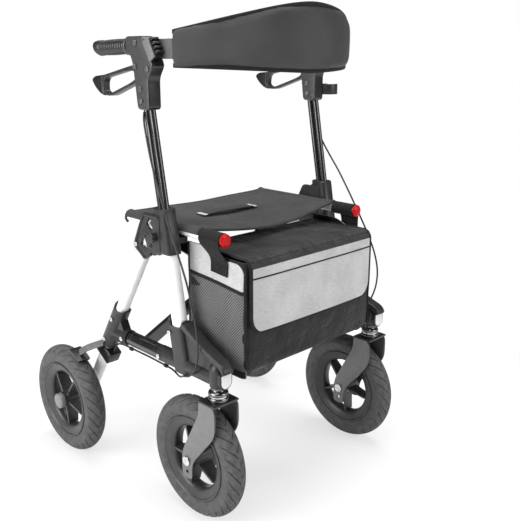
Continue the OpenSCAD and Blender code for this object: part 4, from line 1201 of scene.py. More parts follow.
@dataclass
class FrontBracket(SidePart):
    """The front casting: leg socket, round boom, curved flange, web and caster head, with its pale cap."""

    socket_half: Point = (0.0230, 0.0171)
    socket_corner: float = 0.010
    socket_low: float = 0.304
    socket_high: float = 0.4135
    socket_dip: float = 0.014
    socket_levels: int = 6
    mouth: Outline = ((0.0045, 0.0), (0.0052, 0.004))
    boom_radius: float = 0.017
    boom_z: float = 0.320
    web_half: float = 0.0085
    web_edge: float = 0.0005
    leg_half: float = 0.0195
    outset: float = 0.004
    flange: Outline = (
        (0.1765, 0.4060), (0.190, 0.3990), (0.2265, 0.3785), (0.266, 0.3630), (0.290, 0.3545),
        (0.2985, 0.3475), (0.3005, 0.3410),
    )
    flange_half: Point = (0.0165, 0.0056)
    flange_end: float = 0.0132
    flange_round: float = 0.005
    head: Outline = (
        (0.0, 0.3060), (0.0150, 0.3060), (0.0166, 0.3080), (0.0172, 0.3170), (0.0172, 0.3400),
        (0.0160, 0.3490), (0.0100, 0.3550), (0.0, 0.3560),
    )
    bearing: Outline = (
        (0.0, 0.2788), (0.0190, 0.2788), (0.0205, 0.2806), (0.0205, 0.2850), (0.0190, 0.2872),
        (0.0166, 0.2880), (0.0166, 0.2892), (0.0186, 0.2900), (0.0198, 0.2920), (0.0198, 0.2960),
        (0.0180, 0.2985), (0.0135, 0.3000), (0.0125, 0.3020), (0.0125, 0.3058), (0.0, 0.3058),
    )
    cap_half: float = 0.0135
    cap_low: float = 0.309
    cap_round: float = 0.014
    cap_corner: float = 0.002
    cap_rim: float = 0.0024
    cap_edge: float = 0.0015
    steps: int = 48

    def build(self) -> None:
        """Makes the casting, the bearing and the cap in place of their nodes."""
        node = self.on("front_bracket")
        body = self.on("side")
        low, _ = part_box(node)
        swivel = middle(self.on("caster_wheel")).x + CASTER_TRAIL
        form = Form(f"{node}_casting")
        self.socket(form)
        boom = [(0.0, low.x), (self.boom_radius, low.x), (self.boom_radius, swivel), (0.0, swivel)]
        form.lathe(boom, self.at(0, 0, self.boom_z), FORWARD, self.steps)
        axis = self.at(swivel, self.outset, 0)
        form.lathe(self.head, axis, UPWARD, self.steps)
        path = curve_through([self.at(x, 0, z) for x, z in self.flange], 6)
        self.rib(form, path)
        form.dress(BLACK_CASTING, body, "black_casting", node)
        outline = [(spot.x, spot.z) for spot in path]
        outline += [(swivel, self.boom_z), (post_x(self.boom_z) + self.leg_half, self.boom_z)]
        faces = self.faces(-self.web_half, self.web_half)
        web = plate(f"{node}_web", outline, [], *faces, self.web_edge, BLACK_CASTING, BLACK_CASTING)
        attach(web, body, "black_casting")
        rings = Form(self.on("caster_bearing")).lathe(self.bearing, axis, UPWARD, self.steps)
        rings.dress(CHROME, self.on("fork"), "bright_steel")
        self.cap(body)

    def rib(self, form: Form, path: Sequence[Vector]) -> None:
        """Adds the flange along the upper edge, narrower toward the caster.

        Args:
            form: The form to add to.
            path: The flange's middle line.
        """
        rows = []
        wide, deep = self.flange_half
        for index, spot in enumerate(path):
            share = index / (len(path) - 1)
            along = heading(path, index)
            up = Vector((-along.z, 0, along.x))
            centre = spot + SIDEWAYS * self.side.value * self.outset * share
            section = rounded(box_section(wide + (self.flange_end - wide) * share, deep), self.flange_round)
            rows.append([centre + SIDEWAYS * a + up * b for a, b in section])
        form.loft(rows)

    def socket(self, form: Form) -> None:
        """Adds the oval socket, open at its scalloped mouth.

        Args:
            form: The form to add to.
        """
        levels = [(share, 0.0, 0.0) for share in span(0.0, 1.0, self.socket_levels)]
        levels += [(1.0, inset, drop) for inset, drop in self.mouth]
        rows = []
        for share, inset, drop in levels:
            row = []
            for index, (x, y) in enumerate(oval(self.socket_half, self.socket_corner, self.steps, inset)):
                dip = self.socket_dip * math.sin(FULL_TURN * index / self.steps) ** 2
                z = self.socket_low + (self.socket_high - dip - self.socket_low) * share - drop
                row.append(self.at(post_x(z) + x, y, z))
            rows.append(row)
        form.grid(rows, around=True)
        form.cap(rows[0])

    def cap(self, body: str) -> None:
        """Makes the pale shield and the dark edge behind it.

        Args:
            body: Body that both ride.
        """
        node = self.on("front_cap")
        low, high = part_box(node)
        centre = middle(node).y
        for name, grown, start, end, finish, slot in (
            ("shield", 0.0, high.x - 2 * self.cap_edge, high.x, PALE_PLASTIC, "pale_plastic"),
            ("edge", self.cap_rim, low.x, high.x - self.cap_edge / 2, DARK_PLASTIC, "black_casting"),
        ):
            half = self.cap_half + grown
            top = high.z + grown
            turn = self.cap_low + self.cap_round
            outline = [(-half, top), (half, top)]
            for angle in span(0.0, math.pi, 16):
                outline.append((half * math.cos(angle), turn - (self.cap_round + grown) * math.sin(angle)))
            smooth = rounded(outline, self.cap_corner, 3)
            middle_z = (top + self.cap_low) / 2
            rows = []
            for x, inset in ((start, 0.0), (end - self.cap_edge, 0.0), (end, self.cap_edge)):
                shrink = 1 - inset / half
                rows.append([
                    Vector((x, centre + y * shrink, middle_z + (z - middle_z) * shrink)) for y, z in smooth
                ])
            Form(f"{node}_{name}").loft(rows).dress(finish, body, slot, node)


@dataclass
class Hub(SidePart):
    """The moulding at the seat: leg socket, two cheeks round the rear leg, rib, bosses and rail saddle."""

    socket_half: Point = (0.0215, 0.0178)
    socket_corner: float = 0.012
    socket_levels: Outline = ((0.5445, 0.0012), (0.5460, 0.0), (0.6320, 0.0), (0.6340, 0.0018))
    outline: Outline = (
        (0.0755, 0.6215), (0.1227, 0.6215), (0.1227, 0.5460), (0.1037, 0.5370), (0.0950, 0.5375),
        (0.0765, 0.5262), (0.0690, 0.5247), (0.0372, 0.5459), (0.0372, 0.5535), (0.0690, 0.6170),
    )
    windows: tuple[Outline, ...] = (
        ((0.0895, 0.6134), (0.0950, 0.6128), (0.1010, 0.5935), (0.0922, 0.5863), (0.0802, 0.5990)),
        ((0.0655, 0.5690), (0.0728, 0.5669), (0.0814, 0.5497), (0.0765, 0.5442), (0.0585, 0.5525)),
    )
    cheek_from: float = 0.0143
    cheek_to: float = 0.0193
    rib_share: float = 0.94
    rib_bend_share: float = 0.12
    rib_radius: float = 0.0030
    bosses: Route = ((0.0790, 0.5744, 0.0070), (0.0930, 0.5560, 0.0048))
    boss_shares: Outline = ((0.45, 0.0), (1.0, 0.0), (0.94, 1.0), (0.5, 1.0), (0.45, 0.0))
    boss_proud: float = 0.0024
    corner: float = 0.0035
    window_corner: float = 0.0016
    edge: float = 0.0008
    saddle_half: float = 0.017
    saddle_height: float = 0.012
    steps: int = 40

    def build(self) -> None:
        """Makes the moulding in place of the node."""
        node = self.on("hub")
        body = self.on("side")
        form = Form(f"{node}_socket")
        rows = []
        for z, inset in self.socket_levels:
            loop = oval(self.socket_half, self.socket_corner, self.steps, inset)
            rows.append([self.at(post_x(z) + a, b, z) for a, b in loop])
        form.loft(rows)
        self.rib(form)
        out = Vector((0, self.side.value, 0))
        for x, z, radius in self.bosses:
            profile = [(radius * across, self.boss_proud * up) for across, up in self.boss_shares]
            form.lathe(profile, self.at(x, self.cheek_to - self.edge, z), out, self.steps)
        form.dress(BLACK_CASTING, body, "black_casting", node)
        smooth = rounded(self.outline, self.corner)
        holes = [rounded(window, self.window_corner) for window in self.windows]
        for name, sign, cuts in (("outer", 1, holes), ("inner", -1, [])):
            faces = self.faces(sign * self.cheek_from, sign * self.cheek_to)
            cheek = plate(f"{node}_{name}_cheek", smooth, cuts, *faces, self.edge, BLACK_CASTING)
            attach(cheek, body, "black_casting")
        attach(self.saddle(f"{node}_saddle"), body, "black_casting")

    def rib(self, form: Form) -> None:
        """Adds the bead along the outer cheek's free edge.

        Args:
            form: The form to add to.
        """
        heart = sum((Vector(spot) for spot in self.outline), Vector((0, 0))) / len(self.outline)
        free = [self.outline[1], self.outline[0], *self.outline[:3:-1]]
        inner = [heart + (Vector(spot) - heart) * self.rib_share for spot in free]
        path = [self.at(spot.x, self.cheek_to, spot.y) for spot in inner]
        smooth = [path[0]]
        for before, spot, after in zip(path, path[1:], path[2:]):
            smooth += [spot.lerp(before, self.rib_bend_share), spot.lerp(after, self.rib_bend_share)]
        smooth.append(path[-1])
        form.sweep(smooth, ring(self.rib_radius, 10), SIDEWAYS)

    def saddle(self, name: str) -> Piece:
        """Makes the block under the seat rail.

        Args:
            name: Name of the block.

        Returns:
            The block.
        """
        rail_low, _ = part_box(self.on("seat_rail"))
        heart = sum(x for x, _ in self.outline[1:3]) / 2
        ends = sorted((middle(self.on("seat_rail")).y, self.at(0, -self.cheek_from, 0).y))
        low = (heart - self.saddle_half, ends[0], rail_low.z - self.saddle_height)
        high = (heart + self.saddle_half, ends[1], rail_low.z)
        return block(name, low, high, self.edge, BLACK_CASTING)


@dataclass
class CableClip(SidePart):
    """The clips that hold a brake cable under the lower tube."""

    places: tuple[float, ...] = (0.105, -0.020)
    bore: float = 0.0023
    ring_radius: float = 0.0042
    half_length: float = 0.004
    cable_drop: float = 0.0245
    cable_out: float = 0.002
    steps: int = 20

    def build(self) -> None:
        """Makes the clips."""
        height = middle(self.on("lower_tube")).z - self.cable_drop
        half = self.half_length
        profile = [(self.bore, -half), (self.ring_radius, -half), (self.ring_radius, half), (self.bore, half)]
        form = Form(self.on("cable_clips"))
        for x in self.places:
            form.lathe(profile, self.at(x, self.cable_out, height), FORWARD, self.steps, closed=True)
        form.dress(DARK_PLASTIC, self.on("side"), "black_casting")


@dataclass
class Wheel:
    """A wheel: rim lips, sloping dish, hub with deep thin spokes and, where it has one, a hub cap."""

    node: str
    body: str
    capped: bool
    spoke_turn: float
    spokes: int = 5
    spoke_half: Point = (0.0160, 0.0125)
    spoke_thickness: Point = (0.0058, 0.0042)
    spoke_root_share: float = 0.9
    hub_radius: float = 0.0185
    hub_half: float = 0.0245
    bore: float = 0.0075
    lip_radius: float = 0.0905
    lip_width: float = 0.0055
    lip_proud: float = 0.0022
    lip_shares: Outline = ((0.0, -1.0), (0.3, 0.6), (0.6, 1.0), (1.0, 0.4), (1.0, -1.0))
    rim_half: float = 0.020
    dish_radii: tuple[float, ...] = (0.0852, 0.082, 0.077, 0.072, 0.068, 0.0662, 0.0655)
    dish_shares: tuple[float, ...] = (0.97, 0.92, 0.83, 0.73, 0.60, 0.40, 0.20)
    cap_radius: float = 0.0180
    cap_height: float = 0.012
    cap_wall_share: float = 0.75
    cap_gap: float = 0.0005
    steps: int = 96

    def build(self) -> None:
        """Makes the lips, the dish, the web and the cap."""
        centre = middle(self.node)
        form = Form(f"{self.node}_lips")
        inner = self.lip_radius - self.lip_width
        for sign in (-1, 1):
            profile = [
                (inner + across * self.lip_width, sign * (self.rim_half + out * self.lip_proud))
                for across, out in self.lip_shares
            ]
            form.lathe(profile, centre, SIDEWAYS, self.steps, closed=True)
        form.dress(LIT_RIM_LIP, self.body, "wheel_plastic")
        half = [(radius, along * self.rim_half) for radius, along in zip(self.dish_radii, self.dish_shares)]
        mirrored = [(radius, -along) for radius, along in reversed(half)]
        dish = Form(f"{self.node}_dish").lathe(half + mirrored, centre, SIDEWAYS, self.steps, closed=True)
        dish.dress(WHEEL_PLASTIC, self.body, "wheel_plastic")
        self.web(centre)
        if self.capped:
            self.cap(centre)

    def web(self, centre: Vector) -> None:
        """Makes the hub and the spokes in place of the node.

        Args:
            centre: The wheel's middle.
        """
        form = Form(f"{self.node}_web")
        half = self.hub_half
        tube = [(self.bore, -half), (self.hub_radius, -half), (self.hub_radius, half), (self.bore, half)]
        form.lathe(tube, centre, SIDEWAYS, self.steps, closed=True)
        ends = (self.hub_radius * self.spoke_root_share, sum(self.dish_radii[-2:]) / 2)
        for index in range(self.spokes):
            angle = self.spoke_turn + FULL_TURN * index / self.spokes
            out = Vector((math.cos(angle), 0, math.sin(angle)))
            across = Vector((-out.z, 0, out.x))
            form.loft([
                [centre + out * reach + across * a + SIDEWAYS * b for a, b in box_section(thick / 2, deep)]
                for reach, deep, thick in zip(ends, self.spoke_half, self.spoke_thickness)
            ])
        form.dress(WHEEL_PLASTIC, self.body, "wheel_plastic", self.node)

    def cap(self, centre: Vector) -> None:
        """Makes the cap over the outer end of the hub.

        Args:
            centre: The wheel's middle.
        """
        low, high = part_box(self.node)
        out = 1 if centre.y > 0 else -1
        base = Vector((centre.x, high.y if out > 0 else low.y, centre.z))
        profile = [(self.cap_radius, self.cap_gap * out)]
        for angle in span(0.0, math.pi / 2, 8):
            reach = self.cap_height * (self.cap_wall_share + (1 - self.cap_wall_share) * math.sin(angle))
            profile.append((self.cap_radius * math.cos(angle), out * reach))
        form = Form(f"{self.node}_cap").lathe(profile, base, SIDEWAYS, self.steps)
        form.dress(HUB_CAP, self.body, "pale_plastic")


@dataclass
class Handle(SidePart):
    """A handle's bracket, grip, brake lever and release button."""

    bracket_shares: Outline = (
        (-0.22, 0), (0.22, 0), (0.22, 0.43), (0.40, 0.60), (0.36, 0.67), (0.06, 1),
        (-0.60, 1), (-0.60, 0.74), (-0.44, 0.76), (-0.345, 0.62), (-0.29, 0.345),
    )
    pivot_share: Point = (-0.23, 0.595)
    foot: Point = (0.08166, 0.821)
    size: Point = (0.086, 0.136)
    corner: float = 0.009
    edge: float = 0.0035
    lever_size: Point = (0.164, 0.059)
    lever_half: float = 0.008
    lever_shares: Outline = (
        (0.046, 0.12), (-0.264, -0.034), (-0.73, -0.288), (-0.966, -0.373), (-1, -0.508), (-0.81, -0.932),
        (-0.69, -1), (-0.575, -0.983), (-0.172, -0.627), (0.023, -0.44), (0.052, -0.136),
    )
    hole_shares: Outline = (
        (-0.103, -0.136), (-0.264, -0.153), (-0.713, -0.39), (-0.753, -0.508), (-0.77, -0.814),
        (-0.69, -0.915), (-0.586, -0.88), (-0.184, -0.53), (-0.069, -0.39),
    )
    cap_shares: Outline = (
        (-0.76, -0.30), (-0.95, -0.345), (-1.02, -0.47), (-0.95, -0.72), (-0.83, -0.95), (-0.72, -1.01),
        (-0.775, -0.80), (-0.765, -0.50),
    )
    cap_proud: float = 0.0018
    slope_shares: tuple[Point, Point] = ((0.06, 1.0), (0.36, 0.67))
    button_span: Point = (-0.005, 0.0117)
    button_from: float = 0.013
    button_to: float = 0.049
    button_gap: float = 0.0004
    button_base: float = 0.014
    button_height: float = 0.0205
    button_edge: float = 0.0008
    button_ribs: int = 4
    button_rib_foot: float = 0.001
    button_rib_shares: Point = (0.1, 0.72)
    cheek_span: Point = (0.0120, 0.0158)
    cheek_over: float = 0.002
    cheek_depth: float = 0.005
    cheek_height: float = 0.0132
    grip_share: float = 0.93
    grip_front: Outline = ((0.0, 0.0), (1.02, 0.0), (1.02, 0.004), (0.9, 0.006))
    grip_rear: Outline = ((1.0, 0.018), (1.0, 0.008), (0.93, 0.0025), (0.75, 0.0), (0.0, 0.0))
    grip_steps: int = 48
    rib_from: float = 0.010
    rib_to: float = 0.022
    ribs: int = 11
    rib_height: float = 0.0010
    end_slant: float = 0.45
    end_zone: float = 0.016
    collar_length: float = 0.006
    collar_proud: float = 0.002
    collar_lap: float = 0.001
    collar_bore: float = 0.8
    collar_lip: float = 0.96
    grip_waist: float = 0.06
    rib_edge: Point = (0.3, 0.9)

    def build(self) -> None:
        """Makes the pieces in place of their nodes."""
        self.bracket()
        self.lever()
        self.grip()
        self.release()

    def spots(self, shares: Sequence[Point], start: Point, size: Point) -> list[Point]:
        """Returns shares of a width and a height as places from a start."""
        return [(start[0] + across * size[0], start[1] + up * size[1]) for across, up in shares]

    def release(self) -> None:
        """Makes the ribbed button on the bracket's slope and the cheek beside it."""
        node = self.on("backrest_release")
        top, foot = self.spots(self.slope_shares, self.foot, self.size)
        slope = math.atan2(top[1] - foot[1], foot[0] - top[0])
        seat = Matrix.Translation(self.at(top[0], 0, top[1])) @ Matrix.Rotation(slope, 4, "Y")

        def pad(name: str, along: Point, out: Point, up: Point, finish: Finish) -> Piece:
            """Makes a block on the slope.

            Args:
                name: Name of the block.
                along: Its reach down the slope.
                out: Its reach outward.
                up: Its reach off the slope.
                finish: Its finish.

            Returns:
                The block.
            """
            low_y, high_y = sorted(self.side.value * place for place in out)
            made = block(name, (along[0], low_y, up[0]), (along[1], high_y, up[1]), self.button_edge, finish)
            made.data.transform(seat)
            return made

        ends = (self.button_from, self.button_to)
        base = pad(f"{node}_base", ends, self.button_span, (self.button_gap, self.button_base), DARK_PLASTIC)
        attach(base, self.on("release"), "black_casting", node)
        pitch = (self.button_to - self.button_from) / self.button_ribs
        tall = (self.button_rib_foot, self.button_height)
        for index in range(self.button_ribs):
            start = self.button_from + index * pitch
            along = tuple(start + share * pitch for share in self.button_rib_shares)
            rib = pad(f"{node}_rib_{index}", along, self.button_span, tall, DARK_PLASTIC)
            attach(rib, self.on("release"), "black_casting")
        reach = (self.button_from - self.cheek_over, self.button_to + self.cheek_over)
        tall = (-self.cheek_depth, self.cheek_height)
        cheek = pad(self.on("release_cheek"), reach, self.cheek_span, tall, CHEEK_PLASTIC)
        attach(cheek, self.on("handle"), "handle_casting")

    def bracket(self) -> None:
        """Makes the bracket with round edges, its rim painted darker than its faces as painted shade."""
        node = self.on("handle_bracket")
        low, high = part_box(node)
        outline = rounded(self.spots(self.bracket_shares, self.foot, self.size), self.corner)
        # Faces in the handle casting, rim in the dark casting finish: the darker rim is painted shade.
        made = plate(f"{node}_shell", outline, [], low.y, high.y, self.edge, HANDLE_CASTING, DARK_CASTING_AND_SHADE)
        attach(made, self.on("handle"), "handle_casting", node)

    def lever(self) -> None:
        """Makes the lever's loop and the cap on its rear end."""
        node = self.on("brake_lever")
        (pivot,) = self.spots([self.pivot_share], self.foot, self.size)
        outline, hole, cap = (
            rounded(self.spots(shares, pivot, self.lever_size), self.corner)
            for shares in (self.lever_shares, self.hole_shares, self.cap_shares)
        )
        centre = self.at(0, 0, 0).y
        half = self.lever_half
        ends = (centre - half, centre + half)
        loop = plate(f"{node}_loop", outline, [hole], *ends, self.edge / 2, LEVER_METAL)
        attach(loop, self.on("lever"), "lever_metal", node)
        half += self.cap_proud
        end = plate(f"{node}_end", cap, [], centre - half, centre + half, self.edge, DARK_PLASTIC)
        attach(end, self.on("lever"), "grip_rubber")

    def grip(self) -> None:
        """Makes the ribbed grip and the ring in front of it."""
        node = self.on("grip")
        low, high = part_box(node)
        full = (high.y - low.y) / 2
        radius = full * self.grip_share
        centre = middle(node)
        start = Vector((high.x, centre.y, high.z - full))
        end = Vector((low.x + self.end_slant * radius, centre.y, low.z + full))
        axis = (end - start).normalized()
        length = (end - start).length
        profile = [(radius * share, along) for share, along in self.grip_front]
        rib_to = length - self.rib_to
        for share in span(0.0, 1.0, self.ribs * 8):
            wave = math.cos(FULL_TURN * self.ribs * share)
            swell = 1 - self.grip_waist + self.grip_waist * math.sin(math.pi * share)
            valley = self.rib_height * ease(*self.rib_edge, wave)
            profile.append((radius * swell - valley, self.rib_from + (rib_to - self.rib_from) * share))
        profile += [(radius * share, length - back) for share, back in self.grip_rear]
        made = Form(f"{node}_sleeve").lathe(profile, start, axis, self.grip_steps).build(GRIP_RUBBER)
        for vertex in made.data.vertices:
            along = (vertex.co - start).dot(axis)
            raised = vertex.co.z - (start + axis * along).z
            vertex.co += axis * (self.end_slant * raised * ease(length - self.end_zone, length, along))
        attach(made, self.on("handle"), "grip_rubber", node)
        proud = radius + self.collar_proud
        rear = self.collar_length
        bore = radius * self.collar_bore
        lip = proud * self.collar_lip
        loop = [
            (bore, -self.collar_lap), (lip, -self.collar_lap), (proud, self.collar_lap),
            (proud, rear - 2 * self.collar_lap), (lip, rear), (bore, rear),
        ]
        collar = Form(f"{node}_collar").lathe(loop, start, axis, self.grip_steps, closed=True)
        collar.dress(HANDLE_CASTING, self.on("handle"), "handle_casting")


@dataclass
class StickClip:
    """The open ring on the left handle that holds a walking stick."""

    body: str = "left_handle"
    radius: float = 0.0205
    thickness: float = 0.0032
    lip: float = 0.003
    opening: float = math.radians(95)
    foot_half: float = 0.008
    foot_depth: float = 0.006
    edge: float = 0.001
    steps: int = 36

    def build(self) -> None:
        """Makes the ring and its foot in place of the node."""
        node = "stick_clip"
        low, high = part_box(node)
        heart = middle(node)
        heart.y = low.y + self.foot_depth + self.radius
        first = math.pi / 2 + self.opening / 2
        path = []
        for angle in span(first, first + FULL_TURN - self.opening, self.steps):
            path.append(heart + Vector((math.cos(angle), math.sin(angle), 0)) * self.radius)
        tall = (high.z - low.z) / 2 + self.lip
        section = rounded(box_section(self.thickness / 2, tall), self.edge, 3)
        form = Form(f"{node}_ring").sweep(path, section, UPWARD)
        form.dress(BLACK_CASTING, self.body, "black_casting", node)
        foot_low = (heart.x - self.foot_half, low.y, heart.z - tall)
        foot_high = (heart.x + self.foot_half, low.y + self.foot_depth, heart.z + tall)
        foot = block(f"{node}_foot", foot_low, foot_high, self.edge, BLACK_CASTING)
        attach(foot, self.body, "black_casting")


@dataclass
class Upholstery:
    """Fills a sewn piece as its stuffing would."""

    voxel: float = 0.0055
    pressure: float = 4.0
    frames: int = 16
    furthest: float = 0.005

    def settle(self, made: Piece) -> None:
        """Applies an object's modifiers to its mesh."""
        mesh = applied_mesh(made)
        made.modifiers.clear()
        made.data = mesh

    def puff(self, made: Piece, outward: Callable[[Vector], Vector]) -> None:
        """Fills one piece with a short cloth run and smooths it.

        Args:
            made: The piece, whose mesh is replaced.
            outward: The direction in which the piece may swell at a point.
        """
        scene = bpy.context.scene
        remesh = made.modifiers.new("even", "REMESH")
        remesh.mode = "VOXEL"
        remesh.voxel_size = self.voxel
        self.settle(made)
        before = [vertex.co.copy() for vertex in made.data.vertices]
        cloth = made.modifiers.new("fill", "CLOTH")
        cloth.settings.use_pressure = True
        cloth.settings.uniform_pressure_force = self.pressure
        cloth.settings.effector_weights.gravity = 0.0
        cloth.settings.quality = 6
        cloth.point_cache.frame_start = 1
        cloth.point_cache.frame_end = self.frames
        for number in range(1, self.frames + 1):
            scene.frame_set(number)
        evaluated = made.evaluated_get(bpy.context.evaluated_depsgraph_get())
        after = [vertex.co.copy() for vertex in evaluated.data.vertices]
        made.modifiers.clear()
        scene.frame_set(1)
        for vertex, old, new in zip(made.data.vertices, before, after):
            way = outward(old)
            swell = min(max((new - old).dot(way), -self.furthest), self.furthest)
            vertex.co = old + way * swell
        smooth = made.modifiers.new("smooth", "SUBSURF")
        smooth.levels = 1
        self.settle(made)
        made.data.shade_smooth()


@dataclass
class BackBand:
    """The padded band behind the user's back, with bound edges."""

    end_x: float = 0.150
    bow: float = 0.138
    bow_power: float = 2.6
    half: float = 0.2275
    thickness: float = 0.015
    low_end: float = 0.901
    low_dip: float = 0.011
    low_power: float = 1.2
    high_end: float = 0.966
    high_rise: float = 0.052
    high_power: float = 1.7
    face_power: float = 0.8
    edge_power: float = 0.55
    end_share: float = 0.7
    end_zone_share: float = 0.02
    slope_step: float = 0.002
    keep: float = 0.355
    columns: int = 72
    around: int = 32
    binding_half: float = 0.0042
    binding_proud: float = 0.0012
    binding_share: float = 0.27
    binding_shares: Outline = ((0.62, 0.0), (0.95, 0.45), (1.02, 1.0), (1.02, 1.9))
    seam_inset: float = 0.010
    seam_share: float = 0.56
    seam_end_share: float = 0.08
    stitches: int = 14
    stitch_shares: Point = (0.15, 0.85)
    stitch_radius: float = 0.0006

    def spot(self, t: float) -> Vector:
        """Returns the middle of the band's lower edge at a share of its half length."""
        return Vector((
            self.end_x + self.bow * (1 - abs(t) ** self.bow_power),
            self.half * t,
            self.low_end - self.low_dip * (1 - abs(t) ** self.low_power),
        ))

    def top(self, t: float) -> float:
        """Returns the height of the band's upper edge."""
        return self.high_end + self.high_rise * (1 - abs(t) ** self.high_power)

    def out(self, t: float) -> Vector:
        """Returns the outward direction, square to the band."""
        along = self.spot(min(t + self.slope_step, 1)) - self.spot(max(t - self.slope_step, -1))
        return Vector((along.y, -along.x, 0)).normalized()

    def thin(self, t: float) -> float:
        """Returns the band's thickness as a share, less at its ends."""
        return self.end_share + (1 - self.end_share) * ease(0.0, self.end_zone_share, 1 - abs(t))

    def ring(self, t: float) -> list[Vector]:
        """Returns the band's section.

        Args:
            t: Place along the band, from -1 to 1.

        Returns:
            Points in order round the band.
        """
        foot = self.spot(t)
        tall = self.top(t) - foot.z
        deep = self.thickness / 2 * self.thin(t)
        loop = []
        for cosine, sine in ring(1.0, self.around):
            through = math.copysign(abs(cosine) ** self.face_power, cosine)
            up = math.copysign(abs(sine) ** self.edge_power, sine)
            loop.append(foot + self.out(t) * (through * deep) + UPWARD * (tall * (0.5 + 0.5 * up)))
        return loop

    def shares(self) -> list[float]:
        """Returns places along the band, closer together at its ends."""
        return [math.sin(math.pi / 2 * share) for share in span(-1.0, 1.0, self.columns)]

    def build(self) -> None:
        """Makes the pad, its bindings and its end seams."""
        made = Form("back_band").loft([self.ring(t) for t in self.shares()]).build(BACK_CLOTH)
        Upholstery().puff(made, lambda spot: self.out(min(max(spot.y / self.half, -1.0), 1.0)))
        self.fit(made, "backrest_pad")
        for name, edge in {"upper": 1, "lower": 0}.items():
            self.fit(self.binding(name, edge))
        for name, sign in {"right": -1, "left": 1}.items():
            self.fit(self.seam(name, sign))

    def binding(self, name: str, edge: int) -> Piece:
        """Makes the bias strip over one long edge.

        Args:
            name: Which edge.
            edge: 1 for the upper edge and 0 for the lower.

        Returns:
            The strip.
        """
        inward = -1 if edge else 1
        deep = self.thickness * self.binding_share + self.binding_proud
        profile = [(-deep * across, up) for across, up in self.binding_shares]
        profile += [(-through, up) for through, up in reversed(profile)]
        rows = []
        for t in self.shares():
            foot = self.spot(t)
            foot.z = (self.top(t) if edge else foot.z) - inward * self.binding_proud
            rows.append([
                foot + self.out(t) * through * self.thin(t) + UPWARD * (inward * up * self.binding_half)
                for through, up in profile
            ])
        return Form(f"back_binding_{name}").loft(rows).build(BINDING)

    def seam(self, name: str, sign: int) -> Piece:
        """Makes the row of stitches near one end.

        Args:
            name: Which end.
            sign: -1 for the right end and 1 for the left.

        Returns:
            The stitches.
        """
        form = Form(f"back_seam_{name}")
        t = sign * (1 - self.seam_inset / self.half)
        foot = self.spot(t)
        tall = self.top(t) - foot.z
        for face in (-1, 1):
            out = self.out(t) * face
            low = foot + out * (self.thickness * self.seam_share)
            for index in range(self.stitches):
                start, end = (
                    low + UPWARD * (tall * (self.seam_end_share + (1 - 2 * self.seam_end_share) * share))
                    for share in ((index + part) / self.stitches for part in self.stitch_shares)
                )
                path = [start, (start + end) / 2 + out * self.stitch_radius, end]
                form.sweep(path, ring(self.stitch_radius, 6), FORWARD)
        return form.build(BINDING)

    def fit(self, made: Piece, *replaced: str) -> None:
        """Lets a piece of the band ride the right handle."""
        attach(made, "right_handle", "back_cloth", *replaced)
        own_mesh(made)


@dataclass
class FoldingCloth:
    """A soft sub-assembly between the rails."""

    body: str = "seat_bag"
    keep: float = 0.155

    def __post_init__(self) -> None:
        """Takes the rail's place and radius."""
        self.rail = middle("left_seat_rail")
        self.rail_radius = self.rail.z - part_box("left_seat_rail")[0].z

    def fit(self, made: Piece, slot: str, *replaced: str) -> None:
        """Lets a piece ride the cloth's body."""
        attach(made, self.body, slot, *replaced)
        tuple(self.rail)
        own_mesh(made)


